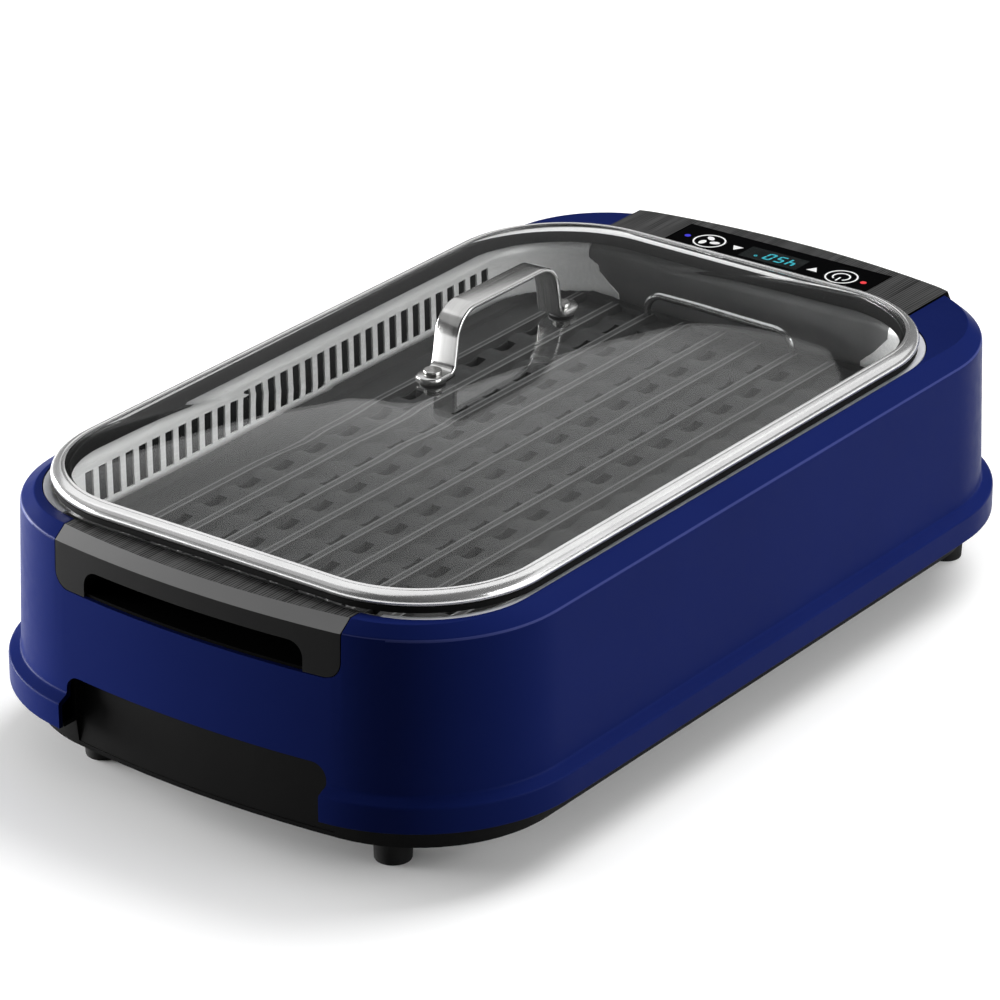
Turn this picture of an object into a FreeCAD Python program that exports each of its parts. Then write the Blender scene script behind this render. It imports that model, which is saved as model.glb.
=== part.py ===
"""Smokeless indoor grill with a lift-off glass lid, in millimetres.

X runs along the length: the carrying grip is at the -X end and the control panel at the +X end.
Z is up. The origin lies on the floor under the middle of the housing.
"""
import FreeCAD
import Part
import math
import os

V = FreeCAD.Vector
UP = V(0, 0, 1)

# Housing plan, taken at the foot of the wall; the ends are bowed outwards
BODY_LENGTH = 520.0
BODY_WIDTH = 303.0
BODY_CORNER_R = 82.0
END_BOW = 19.5

# Housing heights, stacked upwards from the floor
FOOT_HEIGHT = 19.5
BASE_HEIGHT = 14.0
SKIRT_HEIGHT = 13.3
SKIRT_SLOPE = 2.9
WALL_HEIGHT = 77.3
DECK_SLOPE = 5.4

# Outer shell
SHELL_WALL = 2.6
SKIRT_OUT = 5.7
WALL_DRAFT = 3.0
DECK_SLOPE_END = 6.0
DECK_SLOPE_SIDE = 11.7
DECK_CORNER_R = 61.4
NEAR_DECK = 14.0
FAR_DECK = 48.0
OPENING_LIP = 0.6
OPENING_CORNER_R = 58.0

# Base pan and feet
BASE_WALL = 2.5
BASE_INSET = 7.7
BASE_TOP_INSET = 6.0
BASE_FLANGE = 2.5
FOOT_DIAMETER = 20.0
FOOT_TAPER = 1.0
FOOT_SINK = 9.0
NEAR_FOOT_END_INSET = 42.0
NEAR_FOOT_SIDE_INSET = 63.5
FAR_FOOT_END_INSET = 46.5
FAR_FOOT_SIDE_INSET = 31.5

# Hand recess in the near end of the skirt
RECESS_WIDTH = 156.0
RECESS_HEIGHT = 26.5
RECESS_DEPTH = 12.0
RECESS_CORNER_R = 8.0
RECESS_WALL = 2.5

# Near grip and control panel, set into notches of the two ends
INSET_WALL = 3.0
INSET_DROP = 29.0
INSET_CORNER_R = 9.0
SEAM_GAP = 0.5
GRIP_WIDTH = 170.0
PANEL_WIDTH = 196.0
PANEL_RAISE = 1.0
PANEL_EDGE_OUT = 3.5
HAND_WIDTH = 130.0
HAND_BRIDGE = 14.4
HAND_CORNER_R = 8.0
POCKET_DEPTH = 17.0
POCKET_TUB_GAP = 2.5
POCKET_WALL = 1.5

# Controls under the panel
SCREEN_LENGTH = 127.0
SCREEN_DEPTH = 30.0
SCREEN_THICKNESS = 1.0
SCREEN_LEDGE = 3.0
DISPLAY_LENGTH = 36.0
DISPLAY_DEPTH = 13.0
BOARD_LENGTH = 140.0
BOARD_DEPTH = 34.0
BOARD_THICKNESS = 1.6
BOARD_DROP = 6.2
STANDOFF_DIAMETER = 6.0
STANDOFF_MARGIN = 5.0

# Power inlet in the far wall
INLET_WIDTH = 27.0
INLET_HEIGHT = 20.0
INLET_DEPTH = 22.0
INLET_WALL = 2.0
INLET_FLANGE = 4.0
INLET_FLANGE_THICKNESS = 1.5
INLET_DROP = 54.0
INLET_PIN_WIDTH = 2.0
INLET_PIN_HEIGHT = 4.0
INLET_PIN_SPACING = 7.0
INLET_PIN_DROP = 9.0
FIT_GAP = 0.2

# Inner tub
TUB_LEDGE = 8.0
TUB_WALL = 1.5
TUB_BEND = 6.0
LEDGE_DROP = 1.4
REST_DEPTH = 18.0
REST_WIDTH = 120.0
REST_THICKNESS = 6.0
WINDOW_MARGIN = 4.0

# Vent panels along the long sides
VENT_SHEET = 1.0
VENT_DEPTH = 34.0
VENT_SLOT_WIDTH = 6.0
VENT_SLOT_PITCH = 10.0
VENT_SLOT_HEIGHT = 18.0
VENT_SLOT_DROP = 9.0
VENT_END_LENGTH = 34.0
VENT_END_LEAN = 18.0

# Grill plate with its ribs, drip holes and wire bails
PLATE_DROP = 34.4
PLATE_THICKNESS = 5.0
PLATE_GAP = 5.0
PLATE_BORDER = 10.0
PLATE_BORDER_RISE = 2.0
RIB_PITCH = 22.6
RIB_WIDTH = 7.0
RIB_HEIGHT = 4.0
HOLE_LENGTH = 13.0
HOLE_WIDTH = 5.0
HOLE_PITCH = 26.3
HOLE_OFFSET = 4.0
BAIL_WIRE = 4.0
BAIL_RIB = 2
BAIL_HEIGHT = 15.0
BAIL_BEND_R = 10.0
BAIL_INSET = 14.0

# Heating element under the plate, its clamps and its plug
ELEMENT_DIAMETER = 7.0
ELEMENT_GAP = 0.2
ELEMENT_BEND_R = 16.0
ELEMENT_SIDE_MARGIN = 28.2
ELEMENT_RUNS = 6
ELEMENT_END_MARGIN = 34.0
ELEMENT_LEAD = 22.0
ELEMENT_LOOP_GAP = 40.0
CLAMP_WIDTH = 10.0
CLAMP_THICKNESS = 1.5
CLAMP_PITCH = 180.0
CLAMP_END_MARGIN = 40.0
CLAMP_GAP = 1.0
PLUG_LENGTH = 24.0
PLUG_WIDTH = 48.0
PLUG_HEIGHT = 14.0
PLUG_PIN_DIAMETER = 5.0
PLUG_PIN_TIP_GAP = 4.5
PLUG_PIN_SPACING = 20.0
PLUG_REST_GAP = 3.0
SOCKET_GAP = 4.0
SOCKET_BORE_GAP = 0.5
SOCKET_FLOOR = 2.0

# Drip tray
TRAY_TOP_GAP = 4.9
TRAY_WALL = 1.2
TRAY_SIDE_GAP = 14.0
TRAY_END_GAP = 2.0
TRAY_SOCKET_GAP = 8.0
TRAY_CORNER_R = 36.0
TRAY_LIP = 4.0
SEAT_GAP = 0.3

# Fan under the tub
FAN_X = 30.0
IMPELLER_R = 52.0
IMPELLER_EYE_R = 30.0
IMPELLER_DISC = 2.0
BLADE_HEIGHT = 12.0
BLADE_COUNT = 18
BLADE_THICKNESS = 1.5
BLADE_LEAN = 35.0
HUB_R = 9.0
SHAFT_R = 2.5
SHAFT_GAP = 0.15
MOTOR_R = 21.0
MOTOR_HEIGHT = 10.0
MOTOR_GAP = 1.0
VOLUTE_GAP = 14.0
VOLUTE_WALL = 2.0
IMPELLER_TOP_GAP = 2.0
INTAKE_GAP = 7.0
DUCT_WIDTH = 54.0
DUCT_END_INSET = 44.0
EYE_R = 34.0
GUARD_BAR = 2.0
GUARD_RING_COUNT = 3
EXHAUST_SLOT_WIDTH = 4.0
EXHAUST_SLOT_PITCH = 8.0
EXHAUST_SLOT_COUNT = 8

# Screws
SCREW_D = 3.6
SCREW_HEAD_D = 7.0
SCREW_HEAD_H = 2.4
BOSS_D = 9.0
SCREW_GRIP = 9.0
BASE_SCREW_END_INSET = 110.0
BASE_SCREW_INSET = 14.0
POST_HEIGHT = 22.0
POST_WEB = 5.0
PILLAR_NEAR_INSET = 54.0
PILLAR_FAR_INSET = 30.0
PILLAR_SIDE_INSET = 36.2
PILLAR_FAN_GAP = 2.0

# Glass lid
LID_CORNER_R = 68.0
SEAL_HEIGHT = 4.0
SEAL_OUTER = 4.0
SEAL_INNER = 10.0
RIM_SHEET = 0.6
RIM_WIDTH = 7.0
RIM_FOOT = 6.0
RIM_EDGE_R = 3.0
GLASS_THICKNESS = 3.2
GLASS_RISE = 26.5
GLASS_FLAT = 9.0
GLASS_STEPS = 7
GLASS_CORNER_EASE = 0.25
GLASS_CROWN_FLAT = 0.5
GLASS_EDGE_GAP = 0.2
HANDLE_HEIGHT = 32.4
HANDLE_SPAN = 88.0
HANDLE_TAB = 18.0
HANDLE_WIDTH = 14.0
HANDLE_THICKNESS = 3.0
HANDLE_LEAN = 5.0
HANDLE_BEND_R = 15.0
HANDLE_FOOT_R = 5.0
WASHER_D = 13.0
WASHER_THICKNESS = 1.0
LID_SCREW_D = 5.0
LID_SCREW_HEAD_D = 9.0
LID_SCREW_HEAD_H = 2.0
LID_NUT_D = 9.0
LID_NUT_H = 4.0

# Levels worked out from the heights
z_base = FOOT_HEIGHT
z_floor = z_base + BASE_WALL
z_skirt = z_base + BASE_HEIGHT
z_skirt_top = z_skirt + SKIRT_HEIGHT
z_wall = z_skirt_top + SKIRT_SLOPE
z_edge = z_wall + WALL_HEIGHT
z_deck = z_edge + DECK_SLOPE
z_ledge = z_deck - LEDGE_DROP
z_vent = z_ledge + VENT_SHEET
z_disc = z_floor + MOTOR_HEIGHT + MOTOR_GAP
z_blade = z_disc + IMPELLER_DISC
z_shroud = z_blade + BLADE_HEIGHT
z_volute = z_shroud + IMPELLER_TOP_GAP + VOLUTE_WALL
z_tub = z_volute + GUARD_BAR + INTAKE_GAP
z_plate = z_deck - PLATE_DROP
z_channel = z_plate + PLATE_THICKNESS
z_rib = z_channel + RIB_HEIGHT
z_notch = z_deck - INSET_DROP
z_hand = z_deck - HAND_BRIDGE
z_seal = z_vent + SEAT_GAP
z_rim = z_seal + SEAL_HEIGHT
z_glass = z_rim + RIM_SHEET + GLASS_THICKNESS
z_dome = z_glass + GLASS_RISE

# Places along and across the housing
deck_half_length = BODY_LENGTH / 2 - WALL_DRAFT - DECK_SLOPE_END
deck_half_width = BODY_WIDTH / 2 - WALL_DRAFT - DECK_SLOPE_SIDE
open_near = NEAR_DECK - deck_half_length
open_far = deck_half_length - FAR_DECK
open_x = (open_near + open_far) / 2
open_half_length = (open_far - open_near) / 2
open_half_width = deck_half_width - OPENING_LIP
tub_near = open_near + TUB_LEDGE
tub_far = open_far - TUB_LEDGE
plate_far = tub_far - PLATE_GAP
plug_far = tub_far - REST_DEPTH - PLUG_REST_GAP
plug_near = plug_far - PLUG_LENGTH
plug_x = (plug_near + plug_far) / 2
duct_end = BODY_LENGTH / 2 - DUCT_END_INSET
beyond = BODY_LENGTH
cut_over = 1.0


def bowed_plan(half_length, half_width, corner_r, bow):
    """Arc centres and radii of a rounded rectangle with bowed ends."""
    end_r = (half_width ** 2 + bow ** 2) / (2 * bow)
    end_x = half_length - end_r
    corner_y = half_width - corner_r
    corner_x = end_x + math.sqrt((end_r - corner_r) ** 2 - corner_y ** 2)
    turn = math.atan2(corner_y, corner_x - end_x)
    return {"end_r": end_r, "end_x": end_x, "corner_r": corner_r, "corner_x": corner_x,
            "corner_y": corner_y, "turn": turn, "half_width": half_width}


def bowed_wire(plan, offset, z):
    """Outline of a bowed plan, moved outwards by offset, at height z."""
    def polar(cx, cy, radius, angle):
        return V(cx + radius * math.cos(angle), cy + radius * math.sin(angle), z)

    end_r = plan["end_r"] + offset
    corner_r = plan["corner_r"] + offset
    turn = plan["turn"]
    quarter = math.pi / 2
    edges = []
    for side in (1, -1):
        face = 0.0 if side > 0 else math.pi
        arcs = ((side * plan["end_x"], 0.0, end_r, face - turn, face + turn),
                (side * plan["corner_x"], side * plan["corner_y"], corner_r, face + turn, face + quarter))
        for cx, cy, radius, start, stop in arcs:
            middle = (start + stop) / 2
            edges.append(Part.Arc(polar(cx, cy, radius, start), polar(cx, cy, radius, middle),
                                  polar(cx, cy, radius, stop)).toShape())
        y = side * (plan["half_width"] + offset)
        edges.append(Part.makeLine(V(side * plan["corner_x"], y, z), V(-side * plan["corner_x"], y, z)))
        cx = -side * plan["corner_x"]
        cy = side * plan["corner_y"]
        start = face + quarter
        stop = face + math.pi - turn
        edges.append(Part.Arc(polar(cx, cy, corner_r, start), polar(cx, cy, corner_r, (start + stop) / 2),
                              polar(cx, cy, corner_r, stop)).toShape())
    return Part.Wire(edges)


def slab(wire, height):
    """Solid standing on a closed flat wire."""
    return Part.Face(wire).extrude(V(0, 0, height))


def taper(lower, upper):
    """Solid between two closed wires with as many edges."""
    return Part.makeLoft([lower, upper], True, True)


def box(x0, x1, y0, y1, z0, z1):
    return Part.makeBox(x1 - x0, y1 - y0, z1 - z0, V(x0, y0, z0))


def rod(x, y, z0, z1, radius):
    return Part.makeCylinder(radius, z1 - z0, V(x, y, z0))


def rounded_polygon(corners, place):
    """Closed wire through (u, v, corner radius) points, put in space by place(u, v)."""
    count = len(corners)
    stops = []
    for i in range(count):
        u, v, radius = corners[i]
        before = corners[i - 1]
        after = corners[(i + 1) % count]
        a = (before[0] - u, before[1] - v)
        b = (after[0] - u, after[1] - v)
        a_len = math.hypot(*a)
        b_len = math.hypot(*b)
        a = (a[0] / a_len, a[1] / a_len)
        b = (b[0] / b_len, b[1] / b_len)
        if radius <= 0:
            stops.append(((u, v), None, (u, v)))
            continue
        half = math.acos(max(-1.0, min(1.0, a[0] * b[0] + a[1] * b[1]))) / 2
        reach = radius / math.tan(half)
        bisector = (a[0] + b[0], a[1] + b[1])
        norm = math.hypot(*bisector)
        depth = radius / math.sin(half) - radius
        middle = (u + bisector[0] / norm * depth, v + bisector[1] / norm * depth)
        stops.append(((u + a[0] * reach, v + a[1] * reach), middle, (u + b[0] * reach, v + b[1] * reach)))
    edges = []
    for i in range(count):
        start, middle, stop = stops[i]
        if middle:
            edges.append(Part.Arc(place(*start), place(*middle), place(*stop)).toShape())
        following = stops[(i + 1) % count][0]
        if math.hypot(following[0] - stop[0], following[1] - stop[1]) > 1e-6:
            edges.append(Part.makeLine(place(*stop), place(*following)))
    return Part.Wire(edges)


def rectangle(x0, x1, y0, y1, radius, z):
    """Rounded rectangle in a level plane."""
    corners = [(x1, y0, radius), (x1, y1, radius), (x0, y1, radius), (x0, y0, radius)]
    return rounded_polygon(corners, lambda u, v: V(u, v, z))


def opening_wire(offset, z, corner_r=OPENING_CORNER_R):
    """Outline of the housing's opening, moved outwards by offset."""
    return rectangle(open_near - offset, open_far + offset, -open_half_width - offset,
                     open_half_width + offset, corner_r + offset, z)


def ring(offset, corner_r, profile):
    """Rounded profile of (outward, z, radius) points swept round the opening's outline."""
    a = open_half_length + offset
    b = open_half_width + offset
    r = corner_r + offset
    half = math.sqrt(0.5)
    line = Part.makeLine
    edges = [line(V(open_x, b, 0), V(open_x - a + r, b, 0))]
    turns = ((-1, 1), (-1, -1), (1, -1), (1, 1))
    for i, (sx, sy) in enumerate(turns):
        cx = open_x + sx * (a - r)
        cy = sy * (b - r)
        ends = [V(cx, cy + sy * r, 0), V(cx + sx * r, cy, 0)]
        if i % 2:
            ends.reverse()
        edges.append(Part.Arc(ends[0], V(cx + sx * r * half, cy + sy * r * half, 0), ends[1]).toShape())
        nx, ny = turns[(i + 1) % 4]
        if i % 2:
            target = V(open_x + nx * (a - r), ny * b, 0)
        else:
            target = V(open_x + nx * a, ny * (b - r), 0)
        if i == 3:
            target = V(open_x, b, 0)
        edges.append(line(ends[1], target))
    section = rounded_polygon(profile, lambda out, z: V(open_x, b + out, z))
    return Part.Wire(edges).makePipeShell([section], True, False)


def bent_path(points, radii):
    """Open wire through points, with one bend radius for each inner corner."""
    edges = []
    last = points[0]
    for before, corner, after, radius in zip(points, points[1:], points[2:], radii):
        a = (before - corner).normalize()
        b = (after - corner).normalize()
        half = a.getAngle(b) / 2
        reach = radius / math.tan(half)
        start = corner + a * reach
        stop = corner + b * reach
        middle = corner + (a + b).normalize() * (radius / math.sin(half) - radius)
        edges.append(Part.makeLine(last, start))
        edges.append(Part.Arc(start, middle, stop).toShape())
        last = stop
    edges.append(Part.makeLine(last, points[-1]))
    return Part.Wire(edges)


def bent_rod(points, radius, bend_r):
    """Round bar along a bent path."""
    path = bent_path(points, [bend_r] * (len(points) - 2))
    circle = Part.Wire(Part.makeCircle(radius, points[0], points[1] - points[0]))
    return path.makePipeShell([circle], True, False)


def join(shapes):
    first = shapes[0]
    rest = shapes[1:]
    return first.fuse(rest).removeSplitter() if rest else first


def origin_shift():
    """Half the difference of the far and near reach: the recess cuts the near skirt back."""
    end_r = body_plan["end_r"] + SKIRT_OUT
    far = body_plan["end_x"] + end_r
    near = body_plan["end_x"] + math.sqrt(end_r ** 2 - (RECESS_WIDTH / 2) ** 2)
    return (far - near) / 2


def save(name, shape):
    """Write one node about the shared origin, as separate solids where it has several."""
    shape = shape.copy()
    shape.translate(V(-origin_shift(), 0, 0))
    solids = shape.Solids
    result = solids[0] if len(solids) == 1 else Part.makeCompound(solids)
    result.exportStep(os.path.join("parts", name + ".step"))


body_plan = bowed_plan(BODY_LENGTH / 2, BODY_WIDTH / 2, BODY_CORNER_R, END_BOW)
deck_plan = bowed_plan(deck_half_length, deck_half_width, DECK_CORNER_R, END_BOW)


def body_outline(offset, z):
    return bowed_wire(body_plan, offset, z)


def upper_block(inset, roof, edge_out=0.0):
    """Wall and sloped deck edge of the housing, drawn in by inset and roof below the deck."""
    foot = body_outline(-inset, z_skirt)
    edge = body_outline(-inset - WALL_DRAFT, z_edge - roof)
    top = bowed_wire(deck_plan, edge_out - inset, z_deck - roof)
    return join([taper(foot, edge), taper(edge, top)])


def skirt_block(inset):
    """Skirt round the foot of the housing, drawn in by inset."""
    drop = inset / 2
    low = body_outline(SKIRT_OUT - inset, z_skirt)
    rise = SKIRT_HEIGHT - drop
    shoulder = body_outline(SKIRT_OUT - inset, z_skirt_top - drop)
    top = body_outline(-inset, z_wall - drop)
    return join([slab(low, rise), taper(shoulder, top)])


def end_profile(half_width, z_low, z_high, corner_r, x0, x1):
    """Block along X with rounded lower corners."""
    corners = [(-half_width, z_low, corner_r), (half_width, z_low, corner_r),
               (half_width, z_high, 0), (-half_width, z_high, 0)]
    wire = rounded_polygon(corners, lambda y, z: V(x0, y, z))
    return Part.Face(wire).extrude(V(x1 - x0, 0, 0))


def arched_block(half_width, z_low, z_high, corner_r, x0, x1):
    """Block along X with rounded upper corners."""
    corners = [(-half_width, z_low, 0), (half_width, z_low, 0),
               (half_width, z_high, corner_r), (-half_width, z_high, corner_r)]
    wire = rounded_polygon(corners, lambda y, z: V(x0, y, z))
    return Part.Face(wire).extrude(V(x1 - x0, 0, 0))


def screw(x, y, z_head, length):
    """Screw driven upwards from below, with its head's underside face at z_head."""
    head = rod(x, y, z_head, z_head + SCREW_HEAD_H, SCREW_HEAD_D / 2)
    shank = rod(x, y, z_head + SCREW_HEAD_H, z_head + SCREW_HEAD_H + length, SCREW_D / 2)
    return join([head, shank])


def foot_places():
    near_x = NEAR_FOOT_END_INSET - BODY_LENGTH / 2
    near_y = BODY_WIDTH / 2 - NEAR_FOOT_SIDE_INSET
    far_x = BODY_LENGTH / 2 - FAR_FOOT_END_INSET
    far_y = BODY_WIDTH / 2 - FAR_FOOT_SIDE_INSET
    return {"foot_near_left": (near_x, near_y), "foot_near_right": (near_x, -near_y),
            "foot_far_left": (far_x, far_y), "foot_far_right": (far_x, -far_y)}


def base_screw_places():
    y = BODY_WIDTH / 2 - BASE_SCREW_INSET
    end = BODY_LENGTH / 2 - BASE_SCREW_END_INSET
    return [(x, side * y) for x in (-end, 0.0, end) for side in (1, -1)]


def pillar_places():
    beside_fan = IMPELLER_R + VOLUTE_GAP + VOLUTE_WALL + BOSS_D / 2 + PILLAR_FAN_GAP
    y = max(open_half_width - TUB_LEDGE - PILLAR_SIDE_INSET, beside_fan)
    ends = (tub_near + PILLAR_NEAR_INSET, tub_far - PILLAR_FAR_INSET)
    return [(x, side * y) for x in ends for side in (1, -1)]


def inlet_frame(gap, reach=0.0):
    """Body and flange of the power inlet, grown by gap and drawn out by reach."""
    z = z_deck - INLET_DROP
    face = wall_x(z)
    half_w = INLET_WIDTH / 2 + gap
    half_h = INLET_HEIGHT / 2 + gap
    body = box(face - INLET_DEPTH - gap, face + reach, -half_w, half_w, z - half_h, z + half_h)
    lip_w = half_w + INLET_FLANGE
    lip_h = half_h + INLET_FLANGE
    lip = box(face - INLET_FLANGE_THICKNESS - gap, face + reach, -lip_w, lip_w, z - lip_h, z + lip_h)
    return body, lip


def wall_x(z):
    """Outer face of the far wall on the middle line at height z."""
    return BODY_LENGTH / 2 - WALL_DRAFT * (z - z_skirt) / (z_edge - z_skirt)


def outer_shell():
    shell = join([upper_block(0.0, 0.0), skirt_block(0.0)])
    shell = shell.cut([upper_block(SHELL_WALL, SHELL_WALL), skirt_block(SHELL_WALL)])
    opening = slab(opening_wire(0.0, z_edge - SHELL_WALL * 2), beyond)
    grip_notch = end_profile(GRIP_WIDTH / 2, z_notch, z_deck + beyond, INSET_CORNER_R, -beyond, open_x)
    panel_notch = end_profile(PANEL_WIDTH / 2, z_notch, z_deck + beyond, INSET_CORNER_R, open_x, beyond)
    recess = arched_block(RECESS_WIDTH / 2, z_skirt - cut_over, z_skirt + RECESS_HEIGHT,
                          RECESS_CORNER_R, -beyond, open_x)
    posts = []
    bores = []
    z_post = z_skirt + BASE_FLANGE
    wall_y = BODY_WIDTH / 2 - SHELL_WALL / 2
    for x, y in base_screw_places():
        side = 1 if y > 0 else -1
        posts.append(rod(x, y, z_post, z_post + POST_HEIGHT, BOSS_D / 2))
        reach = sorted((y, side * wall_y))
        z_top = z_post + POST_HEIGHT
        posts.append(box(x - POST_WEB / 2, x + POST_WEB / 2, reach[0], reach[1], z_wall, z_top))
        bores.append(rod(x, y, z_post - cut_over, z_post + SCREW_GRIP, SCREW_D / 2))
    shell = shell.cut([opening, grip_notch, panel_notch, recess])
    return join([shell] + posts).cut(bores + list(inlet_frame(FIT_GAP, beyond)))


def recess_block(inset):
    """Space behind the hand recess, whose face leans back as it rises."""
    low = body_outline(-BASE_INSET - inset, z_base)
    z_top = z_skirt + RECESS_HEIGHT + RECESS_WALL
    high = body_outline(-RECESS_DEPTH - inset, z_top)
    return taper(low, high)


def base_pan():
    outer = taper(body_outline(-BASE_INSET, z_base), body_outline(-BASE_TOP_INSET, z_skirt))
    flange = slab(body_outline(SKIRT_OUT - SHELL_WALL - SEAM_GAP, z_skirt), BASE_FLANGE)
    hollow = slab(body_outline(-BASE_INSET - BASE_WALL, z_floor), beyond)
    pan = join([outer, flange]).cut(hollow)
    half = RECESS_WIDTH / 2 - SEAM_GAP
    z_top = z_skirt + RECESS_HEIGHT
    zone = box(-beyond, open_x, -half, half, z_base - cut_over, beyond)
    pan = pan.cut(box(-beyond, open_x, -half, half, z_skirt - cut_over, beyond))
    pan = pan.cut(zone.common(slab(body_outline(0.0, z_floor), beyond).cut(recess_block(0.0))))
    side_zone = box(-beyond, open_x, -half - RECESS_WALL, half + RECESS_WALL, z_base, z_top + RECESS_WALL)
    face = recess_block(0.0).cut(recess_block(RECESS_WALL)).common(side_zone)
    within = -SHELL_WALL - SEAM_GAP - WALL_DRAFT
    frame = slab(body_outline(within, z_skirt), RECESS_HEIGHT + RECESS_WALL)
    frame = frame.cut(recess_block(RECESS_WALL))
    hole = box(-beyond, open_x, -half, half, z_base, z_top)
    frame = frame.common(side_zone).cut(hole)
    bosses = []
    bores = []
    for x, y in base_screw_places():
        bosses.append(rod(x, y, z_base, z_skirt + BASE_FLANGE, BOSS_D / 2))
    for x, y in pillar_places():
        bosses.append(rod(x, y, z_base, z_tub - SCREW_GRIP, BOSS_D / 2))
    for x, y in base_screw_places() + pillar_places():
        bores.append(rod(x, y, z_base - cut_over, z_base + SCREW_HEAD_H, SCREW_HEAD_D / 2 + FIT_GAP))
        bores.append(rod(x, y, z_base, z_tub, SCREW_D / 2 + FIT_GAP))
    for x, y in foot_places().values():
        bores.append(rod(x, y, z_base - cut_over, z_floor + cut_over, SCREW_D / 2))
    slot_y = -(IMPELLER_R + VOLUTE_GAP) + VOLUTE_WALL
    for i in range(EXHAUST_SLOT_COUNT):
        x = duct_end - VOLUTE_WALL - EXHAUST_SLOT_PITCH * (i + 1)
        bores.append(box(x, x + EXHAUST_SLOT_WIDTH, slot_y, slot_y + DUCT_WIDTH - 3 * VOLUTE_WALL,
                         z_base - cut_over, z_floor + cut_over))
    return join([pan, face, frame] + bosses).cut(bores)


def foot(x, y):
    """Rubber foot with a hollow for its screw."""
    radius = FOOT_DIAMETER / 2
    body = Part.makeCone(radius - FOOT_TAPER, radius, z_base, V(x, y, 0))
    return body.cut([rod(x, y, -cut_over, FOOT_SINK, SCREW_HEAD_D / 2 + FIT_GAP),
                     rod(x, y, 0, z_base + cut_over, SCREW_D / 2)])


def foot_screws():
    length = z_floor - FOOT_SINK
    z_head = FOOT_SINK - SCREW_HEAD_H
    return Part.makeCompound([screw(x, y, z_head, length) for x, y in foot_places().values()])


def base_screws():
    length = z_skirt + BASE_FLANGE + SCREW_GRIP - z_base - SCREW_HEAD_H
    return Part.makeCompound([screw(x, y, z_base, length) for x, y in base_screw_places()])


def tub_screws():
    length = z_tub - z_base - SCREW_HEAD_H
    return Part.makeCompound([screw(x, y, z_base, length) for x, y in pillar_places()])


def hand_pocket(x_mouth, x_back):
    """Box behind a hand opening, open towards the mouth and walled elsewhere."""
    inward = 1 if x_back > x_mouth else -1
    half = HAND_WIDTH / 2
    low = z_notch + SEAM_GAP
    outer_x = sorted((x_mouth, x_back))
    inner_x = sorted((x_mouth - inward * beyond, x_back - inward * POCKET_WALL))
    outer = box(outer_x[0], outer_x[1], -half - POCKET_WALL, half + POCKET_WALL,
                low, z_hand + POCKET_WALL)
    inner = box(inner_x[0], inner_x[1], -half, half, low + POCKET_WALL, z_hand)
    return outer.cut(inner)


def end_inset(half_width, raise_by, edge_out, x_inner, x_pocket):
    """Cover that fills one end notch, with a hand opening and a pocket back to x_pocket."""
    outward = 1 if x_inner > open_x else -1
    x_far = outward * beyond
    span = sorted((x_inner, x_far))
    zone = end_profile(half_width - SEAM_GAP, z_notch + SEAM_GAP, beyond,
                       INSET_CORNER_R - SEAM_GAP, span[0], span[1])
    outer = upper_block(0.0, -raise_by, edge_out)
    inner = upper_block(INSET_WALL, INSET_WALL - raise_by, edge_out)
    cover = outer.cut(inner).common(zone)
    mouth = arched_block(HAND_WIDTH / 2, z_notch - cut_over, z_hand, HAND_CORNER_R, span[0], span[1])
    clear = box(span[0], span[1], -beyond, beyond, -beyond, z_deck - DECK_SLOPE - INSET_WALL)
    cover = cover.cut(mouth.common(clear))
    behind_face = upper_block(INSET_WALL / 2, INSET_WALL / 2 - raise_by, edge_out)
    pocket = hand_pocket(x_far, x_pocket).common(behind_face)
    return join([cover, pocket])


def front_grip():
    x_pocket = tub_near - TUB_WALL - POCKET_TUB_GAP
    return end_inset(GRIP_WIDTH / 2, 0.0, 0.0, open_near, x_pocket)


def screen_centre():
    return (open_far + deck_half_length) / 2 + PANEL_EDGE_OUT / 2


def panel_top():
    return z_deck + PANEL_RAISE


def control_panel():
    x_pocket = BODY_LENGTH / 2 - WALL_DRAFT - POCKET_DEPTH
    panel = end_inset(PANEL_WIDTH / 2, PANEL_RAISE, PANEL_EDGE_OUT, open_far, x_pocket)
    x = screen_centre()
    half_d = SCREEN_DEPTH / 2 + FIT_GAP
    half_l = SCREEN_LENGTH / 2 + FIT_GAP
    top = panel_top()
    seat = box(x - half_d, x + half_d, -half_l, half_l, top - SCREEN_THICKNESS, top + cut_over)
    half_d -= SCREEN_LEDGE
    half_l -= SCREEN_LEDGE
    window = box(x - half_d, x + half_d, -half_l, half_l, top - 2 * INSET_WALL, top + cut_over)
    standoffs = []
    z_board = board_level() + BOARD_THICKNESS
    for px, py in board_corners():
        standoffs.append(rod(px, py, z_board, top - INSET_WALL, STANDOFF_DIAMETER / 2))
    return join([panel.cut([seat, window])] + standoffs)


def display_glass():
    x = screen_centre()
    half_d = SCREEN_DEPTH / 2
    half_l = SCREEN_LENGTH / 2
    top = panel_top()
    return box(x - half_d, x + half_d, -half_l, half_l, top - SCREEN_THICKNESS, top)


def board_level():
    """Underside of the control board."""
    return panel_top() - INSET_WALL - BOARD_DROP - BOARD_THICKNESS


def board_corners():
    x = screen_centre()
    dx = BOARD_DEPTH / 2 - STANDOFF_MARGIN
    dy = BOARD_LENGTH / 2 - STANDOFF_MARGIN
    return [(x + sx * dx, sy * dy) for sx in (1, -1) for sy in (1, -1)]


def control_board():
    x = screen_centre()
    z = board_level()
    board = box(x - BOARD_DEPTH / 2, x + BOARD_DEPTH / 2, -BOARD_LENGTH / 2, BOARD_LENGTH / 2,
                z, z + BOARD_THICKNESS)
    return board


def display_module():
    x = screen_centre()
    return box(x - DISPLAY_DEPTH / 2, x + DISPLAY_DEPTH / 2, -DISPLAY_LENGTH / 2, DISPLAY_LENGTH / 2,
               board_level() + BOARD_THICKNESS, panel_top() - SCREEN_THICKNESS)


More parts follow.
